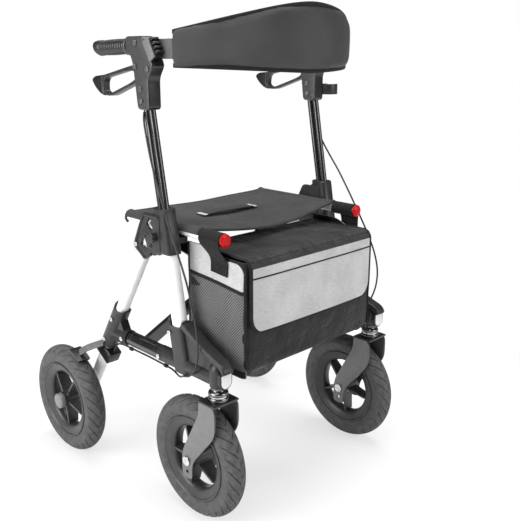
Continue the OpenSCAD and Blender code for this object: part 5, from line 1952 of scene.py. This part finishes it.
@dataclass
class Seat(FoldingCloth):
    """The sling between the rails, with hems, a webbing handle and its stitches."""

    rear_sag: float = 0.005
    front_sag: float = 0.026
    sag_growth: float = 1.3
    sag_power: float = 1.35
    leave_angle: float = math.radians(132)
    wrap_angle: float = math.radians(8)
    hem_angle: float = math.radians(-55)
    rail_gap: float = 0.0125
    half_thickness: float = 0.0015
    columns: int = 44
    rows: int = 40
    slope_step: float = 0.002
    wrinkle: float = 0.0022
    fold_waves: Outline = ((21, 9), (5, 2.3 * math.pi))
    pull_wave: Point = (70, 14)
    pull_share: float = 0.7
    middle_round: float = 0.01
    hem_radius: float = 0.0032
    hem_flat: float = 0.75
    strap_x: float = 0.060
    strap_from: float = -0.098
    strap_to: float = 0.062
    strap_half: Point = (0.0125, 0.0011)
    strap_gap: float = 0.0032
    strap_lift: float = 0.007
    tack_half: Point = (0.0012, 0.0008)
    tack_share: float = 1.15
    tack_insets: Point = (0.004, 0.009)
    tack_lift: float = 0.0022

    def __post_init__(self) -> None:
        """Takes the seat's place from its node."""
        super().__post_init__()
        low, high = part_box("seat_sling")
        self.rear = low.x
        self.front = high.x
        self.half = self.rail.y + self.rail_gap * math.cos(self.leave_angle)

    def height(self, x: float, y: float) -> float:
        """Returns the height of the cloth's middle layer between the rails.

        Args:
            x: Place along the seat.
            y: Place across it.

        Returns:
            The height, with sag, folds and the pull at the rails.
        """
        t = min(abs(y) / self.half, 1.0)
        along = (x - self.rear) / (self.front - self.rear)
        sag = self.rear_sag + (self.front_sag - self.rear_sag) * along ** self.sag_growth
        slack = max(1 - math.sqrt(t * t + self.middle_round) ** self.sag_power, 0.0)
        first, second = (sine_of((y, along), counts) for counts in self.fold_waves)
        pull = sine_of((x, y), self.pull_wave) * t ** 4 * (1 - t ** 8)
        edge_z = self.rail.z + self.rail_gap * math.sin(self.leave_angle)
        return edge_z - sag * slack + self.wrinkle * (first * second * slack + self.pull_share * pull)

    def across(self, x: float, lowest: float) -> list[tuple[Vector, Vector]]:
        """Returns points across the seat at one place along it, each with its upward direction.

        Args:
            x: Place along the seat.
            lowest: Angle on the rail at which the cloth ends.

        Returns:
            Pairs of a point and a direction, from the right rail to the left.
        """
        arcs: dict[int, list[tuple[Vector, Vector]]] = {-1: [], 1: []}
        for sign, arc in arcs.items():
            heart = Vector((x, sign * self.rail.y, self.rail.z))
            for angle in span(lowest, self.leave_angle, 10)[:-1]:
                out = Vector((0, sign * math.cos(angle), math.sin(angle)))
                arc.append((heart + out * self.rail_gap, out))
        between = []
        step = self.slope_step
        for y in span(-self.half, self.half, self.columns):
            slope = (self.height(x, y + step) - self.height(x, y - step)) / (2 * step)
            between.append((Vector((x, y, self.height(x, y))), Vector((0, -slope, 1)).normalized()))
        return arcs[-1] + between + arcs[1][::-1]

    def build(self) -> None:
        """Makes the sling, its hems and its handle."""
        lines = [self.across(x, self.wrap_angle) for x in span(self.rear, self.front, self.rows)]
        upper, lower = (
            [[spot + up * lift for spot, up in line] for line in lines]
            for lift in (self.half_thickness, -self.half_thickness)
        )
        made = Form("seat_cloth").slab(upper, lower).build(SEAT_NYLON)
        hems = [
            self.hem("front", self.front - self.hem_radius, self.wrap_angle),
            self.hem("rear", self.rear + self.hem_radius, self.hem_angle),
        ]
        run_length(upper[0])
        self.fit(made, "seat_nylon", "seat_sling")
        for hem in hems:
            self.fit(hem, "seat_nylon")
        self.handle()

    def hem(self, name: str, x: float, lowest: float) -> Piece:
        """Makes the rolled edge at one place along the seat.

        Args:
            name: Which edge.
            x: Place along the seat.
            lowest: Angle on the rail at which the roll ends.

        Returns:
            The hem.
        """
        path = [spot for spot, _ in self.across(x, lowest)]
        section = ring(self.hem_radius, 10, self.hem_flat)
        return Form(f"seat_hem_{name}").sweep(path, section, FORWARD).build(SEAT_NYLON)

    def handle(self) -> None:
        """Makes the pull handle of webbing and the stitches at its ends."""
        path = []
        for share in span(0.0, 1.0, 24):
            y = self.strap_from + (self.strap_to - self.strap_from) * share
            arch = self.strap_lift * math.sin(math.pi * share) ** 0.7
            path.append(Vector((self.strap_x, y, self.height(self.strap_x, y) + self.strap_gap + arch)))
        strap = Form("seat_handle").sweep(path, box_section(*self.strap_half), UPWARD)
        self.fit(strap.build(WEBBING), "seat_nylon")
        tacks = Form("seat_handle_tacks")
        section = [(a * self.tack_half[0], b * self.tack_half[1]) for a, b in ring(1.0, 8)]
        reach = self.strap_half[0] * self.tack_share
        for spot, inward in ((path[0], 1), (path[-1], -1)):
            for inset in self.tack_insets:
                heart = spot + Vector((0, inward * inset, self.tack_lift))
                tacks.sweep([heart + FORWARD * along for along in span(-reach, reach, 6)], section, UPWARD)
        self.fit(tacks.build(STITCHING), "seat_nylon")


@dataclass
class Bag(FoldingCloth):
    """The shopping bag: a lofted shell with panels, pockets, bindings and straps."""

    corner: float = 0.012
    sole: float = 0.022
    sole_share: float = 0.9
    wall: float = 0.004
    rim_drop: float = 0.0045
    rail_gap: float = 0.006
    slack: float = 0.008
    bulge: float = 0.007
    bulge_power: float = 0.8
    side_share: float = 0.6
    wrinkle: float = 0.0015
    fold_waves: Route = ((11, 23, 37), (0, -17, 61))
    levels: int = 22
    floor_rings: Values = (0.02, 0.4, 0.75, 0.92)
    inner_rings: Values = (0.95, 0.5, 0.02)
    panel_low: Outline = ((0.1345, 0.501), (0.222, 0.499), (0.299, 0.487))
    panel_front: float = 0.2985
    panel_rear: float = 0.1345
    panel_drop: float = 0.004
    panel_rise: float = 0.018
    panel_fall: Point = (0.190, 0.252)
    panel_corner: float = 0.024
    lining: float = -0.0022
    lining_drop: float = 0.030
    hem_rise: float = 0.004
    hem_radius: float = 0.0065
    patch: float = 0.0012
    binding: float = 0.004
    binding_flat: float = 0.55
    binding_foot: float = 0.8
    binding_drop: float = 0.012
    binding_steps: int = 26
    sleeve_from: float = 0.190
    sleeve_to: float = 0.2485
    sleeve_gap: float = 0.0018
    tab_from: float = 0.209
    tab_to: float = 0.2565
    tab_low: float = 0.517
    tab_gap: float = 0.003
    tab_slant: float = 0.004
    tab_lift: float = 0.0038
    tab_rear_turn: Point = (0.0, 0.55)
    tab_front_turn: Point = (0.2, 0.6)
    tab_lean_turn: Point = (0.1, 0.75)
    strap: float = 0.0012
    loop_rows: int = 3
    cross_inset: float = 0.008
    cross_rises: Point = (0.004, 0.024)
    cross_lift: float = 0.0052
    cross_radius: float = 0.0005

    def __post_init__(self) -> None:
        """Takes the bag's place from its node, its lid and the rails."""
        super().__post_init__()
        low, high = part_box("bag")
        self.rear = low.x - self.slack
        self.front = high.x
        self.floor = low.z
        self.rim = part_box("bag_flap")[1].z - self.rim_drop
        self.half = self.rail.y - self.rail_gap

    def swell(self, x: float, y: float, z: float, toward: Vector) -> float:
        """Returns how far the cloth stands off a flat wall.

        Args:
            x: Place along the bag.
            y: Place across it.
            z: The height.
            toward: Outward direction of the wall.

        Returns:
            The distance, with belly and creases.
        """
        up = min(max((z - self.floor) / (self.rim - self.floor), 0.0), 1.0)
        belly = math.sin(math.pi * up ** self.bulge_power)
        along_x = 2 * (x - self.rear) / (self.front - self.rear) - 1
        along_y = y / self.half
        front = max(toward.x, 0.0) * (1 - along_y ** 4)
        side = abs(toward.y) * max(1 - along_x ** 4, 0.0)
        first, second = (sine_of((x, y, z), counts) for counts in self.fold_waves)
        fold = self.wrinkle * first * second * math.sin(math.pi * up)
        return belly * self.bulge * (front + self.side_share * side) + fold

    def loop(self, z: float, inset: float, grown: float = 1.0) -> list[Vector]:
        """Returns the bag's outline at a height.

        Args:
            z: The height.
            inset: How far it lies inside the outer wall.
            grown: Size of the outline as a share.

        Returns:
            Points in order round the bag.
        """
        centre = Vector(((self.rear + self.front) / 2, 0.0))
        half_x = (self.front - self.rear) / 2 - self.corner
        half_y = self.half - self.corner
        hearts = [centre + Vector(spot) for spot in box_section(half_x, half_y)]
        runs = 14
        points = []
        for index, heart in enumerate(hearts):
            for quarters in span(index, index + 1, 6):
                angle = math.pi / 2 * quarters
                points.append((heart, Vector((math.cos(angle), math.sin(angle)))))
            following = hearts[(index + 1) % len(hearts)]
            last = points[-1][1]
            points += [(heart.lerp(following, run / runs), last) for run in range(1, runs)]
        result = []
        for heart, toward in points:
            spot = heart + toward * (self.corner - inset)
            stand = self.swell(spot.x, spot.y, z, toward)
            spot = centre + (spot + toward * stand - centre) * grown
            result.append(Vector((spot.x, spot.y, z)))
        return result

    def skin(self, side: Side, x: float, z: float, lift: float = 0.0) -> Vector:
        """Returns a point on a side wall.

        Args:
            side: Which wall.
            x: Place along the bag.
            z: The height.
            lift: Distance off the wall.

        Returns:
            The point.
        """
        stand = self.swell(x, self.half, z, Vector((0, 1)))
        over = max(x - (self.front - self.corner), self.rear + self.corner - x, 0.0)
        stand -= round_drop(self.corner, over)
        return Vector((x, side.value * (self.half + stand + lift), z))

    def build(self) -> None:
        """Makes the shell and what is sewn to it."""
        sole = self.sole * self.sole_share
        rows = [self.loop(self.floor, sole, grown) for grown in self.floor_rings]
        for angle in span(0.0, math.pi / 2, 6):
            rise = self.sole * (1 - math.cos(angle))
            rows.append(self.loop(self.floor + rise, self.sole * (1 - math.sin(angle))))
        heights = span(self.floor + self.sole, self.rim, self.levels)
        rows += [self.loop(z, 0.0) for z in heights[1:]]
        rows += [self.loop(z, self.wall) for z in heights[:0:-4]]
        rows += [self.loop(self.floor + self.wall * 2, sole, grown) for grown in self.inner_rings]
        self.fit(Form("bag_shell").loft(rows).build(BAG_NYLON), "bag_nylon", "bag")
        for side in Side:
            self.panel(side)
            self.pocket(side)
            self.bindings(side)
            self.hanger(side)

    def panel_edge(self, x: float) -> float:
        """Returns the height of the seam between the side panel and the pocket."""
        (first_x, first_z), (_, middle_z), (last_x, last_z) = self.panel_low
        share = (x - first_x) / (last_x - first_x)
        return (1 - share) ** 2 * first_z + 2 * share * (1 - share) * middle_z + share ** 2 * last_z

    def panel_top(self, x: float) -> float:
        """Returns the height of the side panel's upper edge, round at the front."""
        over = max(x - (self.panel_front - self.panel_corner), 0.0)
        rise = self.panel_rise * (1 - ease(*self.panel_fall, x))
        return self.rim - self.panel_drop + rise - round_drop(self.panel_corner, over)

    def patch_on(
        self,
        name: str,
        side: Side,
        low: Callable[[float], float],
        high: Callable[[float], float],
        finish: Finish,
        lift: float = 0.0,
    ) -> Piece:
        """Makes a thin piece sewn on a side wall.

        Args:
            name: Name of the piece.
            side: Which wall.
            low: Lower edge by place along the bag.
            high: Upper edge by place along the bag.
            finish: Its finish.
            lift: How far its middle lies off the wall.

        Returns:
            The piece.
        """
        along = span(self.panel_rear, self.panel_front, 30)
        nets = [
            [[self.skin(side, x, z, lift + off) for z in span(low(x), high(x), 16)] for x in along]
            for off in (self.patch, -self.patch)
        ]
        return Form(side.node(name)).slab(*nets).build(finish)

    def panel(self, side: Side) -> None:
        """Makes the pale upper panel and the lining behind its top.

        Args:
            side: Which wall.
        """
        self.fit(self.patch_on("bag_panel", side, self.panel_edge, self.panel_top, FLAP_CLOTH), "flap_cloth")
        seam = self.rim - self.lining_drop

        def low(x: float) -> float:
            """Returns the lining's lower edge."""
            return min(seam, self.panel_top(x) - self.patch)

        lining = self.patch_on("bag_lining", side, low, self.panel_top, BAG_NYLON, self.lining)
        self.fit(lining, "bag_nylon")

    def pocket(self, side: Side) -> None:
        """Makes the net pocket."""
        low = self.floor + self.hem_rise
        made = self.patch_on("bag_pocket", side, lambda x: low, self.panel_edge, POCKET_NET)
        self.fit(made, "bag_nylon")

    def bindings(self, side: Side) -> None:
        """Makes the bias strips along the pocket's mouth and the upright edges, and the rolled hem.

        Args:
            side: Which wall.
        """
        section = ring(self.binding, 12, self.binding_flat)
        low = self.floor + self.sole * self.binding_foot
        along = span(self.panel_rear, self.panel_front, self.binding_steps)
        form = Form(side.node("bag_bindings"))
        mouth = [self.skin(side, x, self.panel_edge(x), self.patch) for x in along]
        form.sweep(mouth, section, SIDEWAYS)
        rear_top = self.rim + self.panel_rise - self.panel_drop
        for x, top in ((self.panel_front, self.rim - self.binding_drop), (self.panel_rear, rear_top)):
            post = [self.skin(side, x, z, self.patch) for z in span(low, top, self.binding_steps)]
            form.sweep(post, section, SIDEWAYS)
        hem = [self.skin(side, x, self.floor + self.hem_rise, self.patch) for x in along]
        form.sweep(hem, ring(self.hem_radius, 12), SIDEWAYS)
        self.fit(form.build(BINDING), "bag_nylon")

    def hanger(self, side: Side) -> None:
        """Makes the sleeve over the rail, and the tab that is sewn to the bag.

        Args:
            side: Which wall.
        """
        lifts = (self.strap, -self.strap)
        reach = self.rail_radius + self.sleeve_gap
        along = (self.sleeve_from, self.sleeve_to)
        ends = [Vector((x, side.value * self.rail.y, self.rail.z)) for x in along]
        turns = span(-math.pi / 2, 1.5 * math.pi, 18)
        around = [Vector((0, side.value * math.cos(turn), math.sin(turn))) for turn in turns]
        sleeve = [[[end + out * (reach + lift) for end in ends] for out in around] for lift in lifts]
        Form(side.node("bag_sleeve")).slab(*sleeve).dress(BINDING, RAIL_BODIES[side], "bag_nylon")
        faces = [[self.tab_row(side, share, lift) for share in span(0.0, 1.0, 12)] for lift in lifts]
        first = 0
        if side is Side.RIGHT:
            first = self.loop_rows
            loop = Form(side.node("bag_loop")).slab(*(face[:first + 1] for face in faces))
            loop.dress(BINDING, RAIL_BODIES[side], "bag_nylon")
        tab = Form(side.node("bag_tab")).slab(*(face[first:] for face in faces))
        self.sew(tab.build(BINDING), side)
        self.cross(side)

    def tab_row(self, side: Side, share: float, lift: float) -> list[Vector]:
        """Returns one row of points across a tab.

        Args:
            side: Which wall.
            share: Place down the tab, from the rail to its lower edge.
            lift: Distance off the tab's middle layer.

        Returns:
            The points, from rear to front.
        """
        outer = self.rail.y + self.rail_radius + self.tab_gap
        top = self.rail.z + (self.tab_low - self.rail.z) * share
        rear = self.sleeve_from + (self.tab_from - self.sleeve_from) * ease(*self.tab_rear_turn, share)
        front = self.sleeve_to + (self.tab_to - self.sleeve_to) * ease(*self.tab_front_turn, share)
        lean = ease(*self.tab_lean_turn, share)
        row = []
        for x, z in zip(span(rear, front, 8), span(top, top - self.tab_slant * share, 8)):
            wall = abs(self.skin(side, x, min(z, self.rim), self.tab_lift).y)
            row.append(Vector((x, side.value * (outer + (wall - outer) * lean + lift), z)))
        return row

    def cross(self, side: Side) -> None:
        """Makes the crossed stitches on the tab.

        Args:
            side: Which wall.
        """
        form = Form(side.node("bag_stitches"))
        low, high = (self.tab_low + rise for rise in self.cross_rises)
        along = span(self.tab_from + self.cross_inset, self.tab_to - self.cross_inset, 8)
        for start, end in ((low, high), (high, low)):
            run = [self.skin(side, x, z, self.cross_lift) for x, z in zip(along, span(start, end, 8))]
            form.sweep(run, ring(self.cross_radius, 6), SIDEWAYS)
        self.sew(form.build(BAG_NYLON), side)

    def sew(self, made: Piece, side: Side) -> None:
        """Lets a tab's piece ride the bag; the left one keeps its place beside the rail.

        Args:
            made: The piece.
            side: Which wall.
        """
        if side is Side.LEFT:
            attach(made, self.body, "bag_nylon")
        else:
            self.fit(made, "bag_nylon")


@dataclass
class Flap(FoldingCloth):
    """The bag's lid: dark over the top, a pale panel in front and a bound edge."""

    body: str = "flap"
    bend: float = 0.020
    bend_share: float = 0.4
    corner: float = 0.036
    half_thickness: float = 0.0011
    swell: float = 0.004
    panel_drop: float = 0.021
    panel_lifts: Point = (0.0007, -0.0004)
    line_drop: float = 0.040
    line_lift: float = 0.001
    line_radius: float = 0.0016
    binding: float = 0.0038
    binding_gap: float = 0.0005
    rows: int = 64
    columns: int = 44
    panel_steps: int = 40
    binding_steps: int = 60
    binding_flat: float = 0.62
    binding_start: float = 0.1
    puff_share: float = 0.3
    wrinkle: float = 0.0034
    long_wave: Point = (26, 8)
    short_wave: Point = (57, -31)

    def __post_init__(self) -> None:
        """Takes the lid's place from its node."""
        super().__post_init__()
        self.low, self.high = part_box("bag_flap")
        self.run = self.high.x - self.low.x - self.bend
        self.arc = self.bend * math.pi / 2
        self.drop = self.high.z - self.low.z - self.bend
        self.length = self.run + self.arc + self.drop

    def spot(self, along: float, share: float, lift: float = 0.0) -> Vector:
        """Returns a point of the lid.

        Args:
            along: Distance along the cloth from the rear edge.
            share: Place across it, from -1 to 1.
            lift: Height off the cloth's middle layer.

        Returns:
            The point.
        """
        over = max(along - (self.length - self.corner), 0.0)
        y = (self.high.y - round_drop(self.corner, over)) * share
        if along < self.run:
            part = along / self.run
            ripple = sine_of((y, along), self.long_wave) * math.sin(math.pi * part)
            ripple += sine_of((y, along), self.short_wave) * part ** 2 / 2
            x = self.low.x + along
            z = self.high.z + self.wrinkle * ripple
            out = UPWARD
        elif along < self.run + self.arc:
            angle = (along - self.run) / self.bend
            x = self.low.x + self.run + self.bend * math.sin(angle)
            z = self.high.z - self.bend * (1 - math.cos(angle))
            out = Vector((math.sin(angle), 0, math.cos(angle)))
        else:
            x = self.high.x
            z = self.high.z - self.bend - (along - self.run - self.arc)
            out = FORWARD
        fullest = self.run + self.arc + self.drop * self.puff_share
        puff = self.swell * (1 - share ** 4) * ease(self.run, fullest, along)
        return Vector((x, y, z)) + out * (lift + puff)

    def sheet(self, name: str, alongs: Values, shares: Values, lifts: Values, finish: Finish) -> Piece:
        """Makes a layer of the lid.

        Args:
            name: Name of the piece.
            alongs: Places along the cloth.
            shares: Places across it.
            lifts: Heights of its two faces.
            finish: Its finish.

        Returns:
            The layer.
        """
        nets = [[[self.spot(along, share, lift) for share in shares] for along in alongs] for lift in lifts]
        return Form(name).slab(*nets).build(finish)

    def build(self) -> None:
        """Makes the cloth, the panel, the line and the binding."""
        alongs = span(0.0, self.length, self.rows)
        lifts = (self.half_thickness, -self.half_thickness)
        # The lid uses a lighter copy of the bag nylon as painted light from above.
        made = self.sheet("flap_cloth", alongs, span(-1.0, 1.0, self.columns), lifts, LIT_LID_NYLON)
        pieces = [self.panel(), self.line(), self.edge()]
        self.fit(made, "bag_nylon", "bag_flap")
        for piece, slot in zip(pieces, ("flap_cloth", "bag_nylon", "bag_nylon")):
            self.fit(piece, slot)

    def below_bend(self, drop: float) -> float:
        """Returns the distance along the cloth of a line that lies a drop below the bend."""
        return self.run + self.arc / 2 + drop - self.bend * self.bend_share

    def panel(self) -> Piece:
        """Makes the pale front panel."""
        alongs = span(self.below_bend(self.panel_drop), self.length - self.binding, self.panel_steps)
        reach = 1 - self.binding / self.high.y
        lifts = [self.half_thickness + lift for lift in self.panel_lifts]
        return self.sheet("flap_panel", alongs, span(-reach, reach, self.panel_steps), lifts, FLAP_CLOTH)

    def line(self) -> Piece:
        """Makes the dark piping across the panel."""
        along = self.below_bend(self.line_drop)
        lift = self.half_thickness + self.line_lift
        path = [self.spot(along, share, lift) for share in span(-1.0, 1.0, self.panel_steps)]
        return Form("flap_piping").sweep(path, ring(self.line_radius, 8, 0.5), FORWARD).build(BINDING)

    def edge(self) -> Piece:
        """Makes the binding round the lid's free edge."""
        steps = self.binding_steps
        down = span(self.run * self.binding_start, self.length - self.binding_gap, steps)
        path = [self.spot(along, -1.0) for along in down]
        path += [self.spot(down[-1], share) for share in span(-1.0, 1.0, steps)[1:-1]]
        path += [self.spot(along, 1.0) for along in reversed(down)]
        section = ring(self.binding, 12, self.binding_flat)
        return Form("flap_binding").sweep(path, section, UPWARD).build(BINDING)


def main() -> None:
    """Builds every piece in order."""
    logging.basicConfig(level=logging.INFO, format="%(name)s: %(message)s")
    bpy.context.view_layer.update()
    PhotoCamera().build()
    Studio().build()
    FrameFinishes().dress()
    for side in Side:
        BrakeCable(side).build()
        Tyre(side.node("rear_tyre"), side.node("rear_wheel")).build()
        Tyre(side.node("caster_tyre"), side.node("caster")).build()
        Wheel(side.node("rear_wheel"), side.node("rear_wheel"), True, REAR_SPOKE_TURN).build()
        Wheel(side.node("caster_wheel"), side.node("caster"), False, CASTER_SPOKE_TURNS[side]).build()
        for kind in (Hub, Handle, Fork, BrakeStrap, BrakeHousing, FrontBracket, CableClip):
            kind(side).build()
    for kind in (StickClip, BackBand, Seat, Bag, Flap):
        kind().build()


if __name__ == "__main__":
    main()
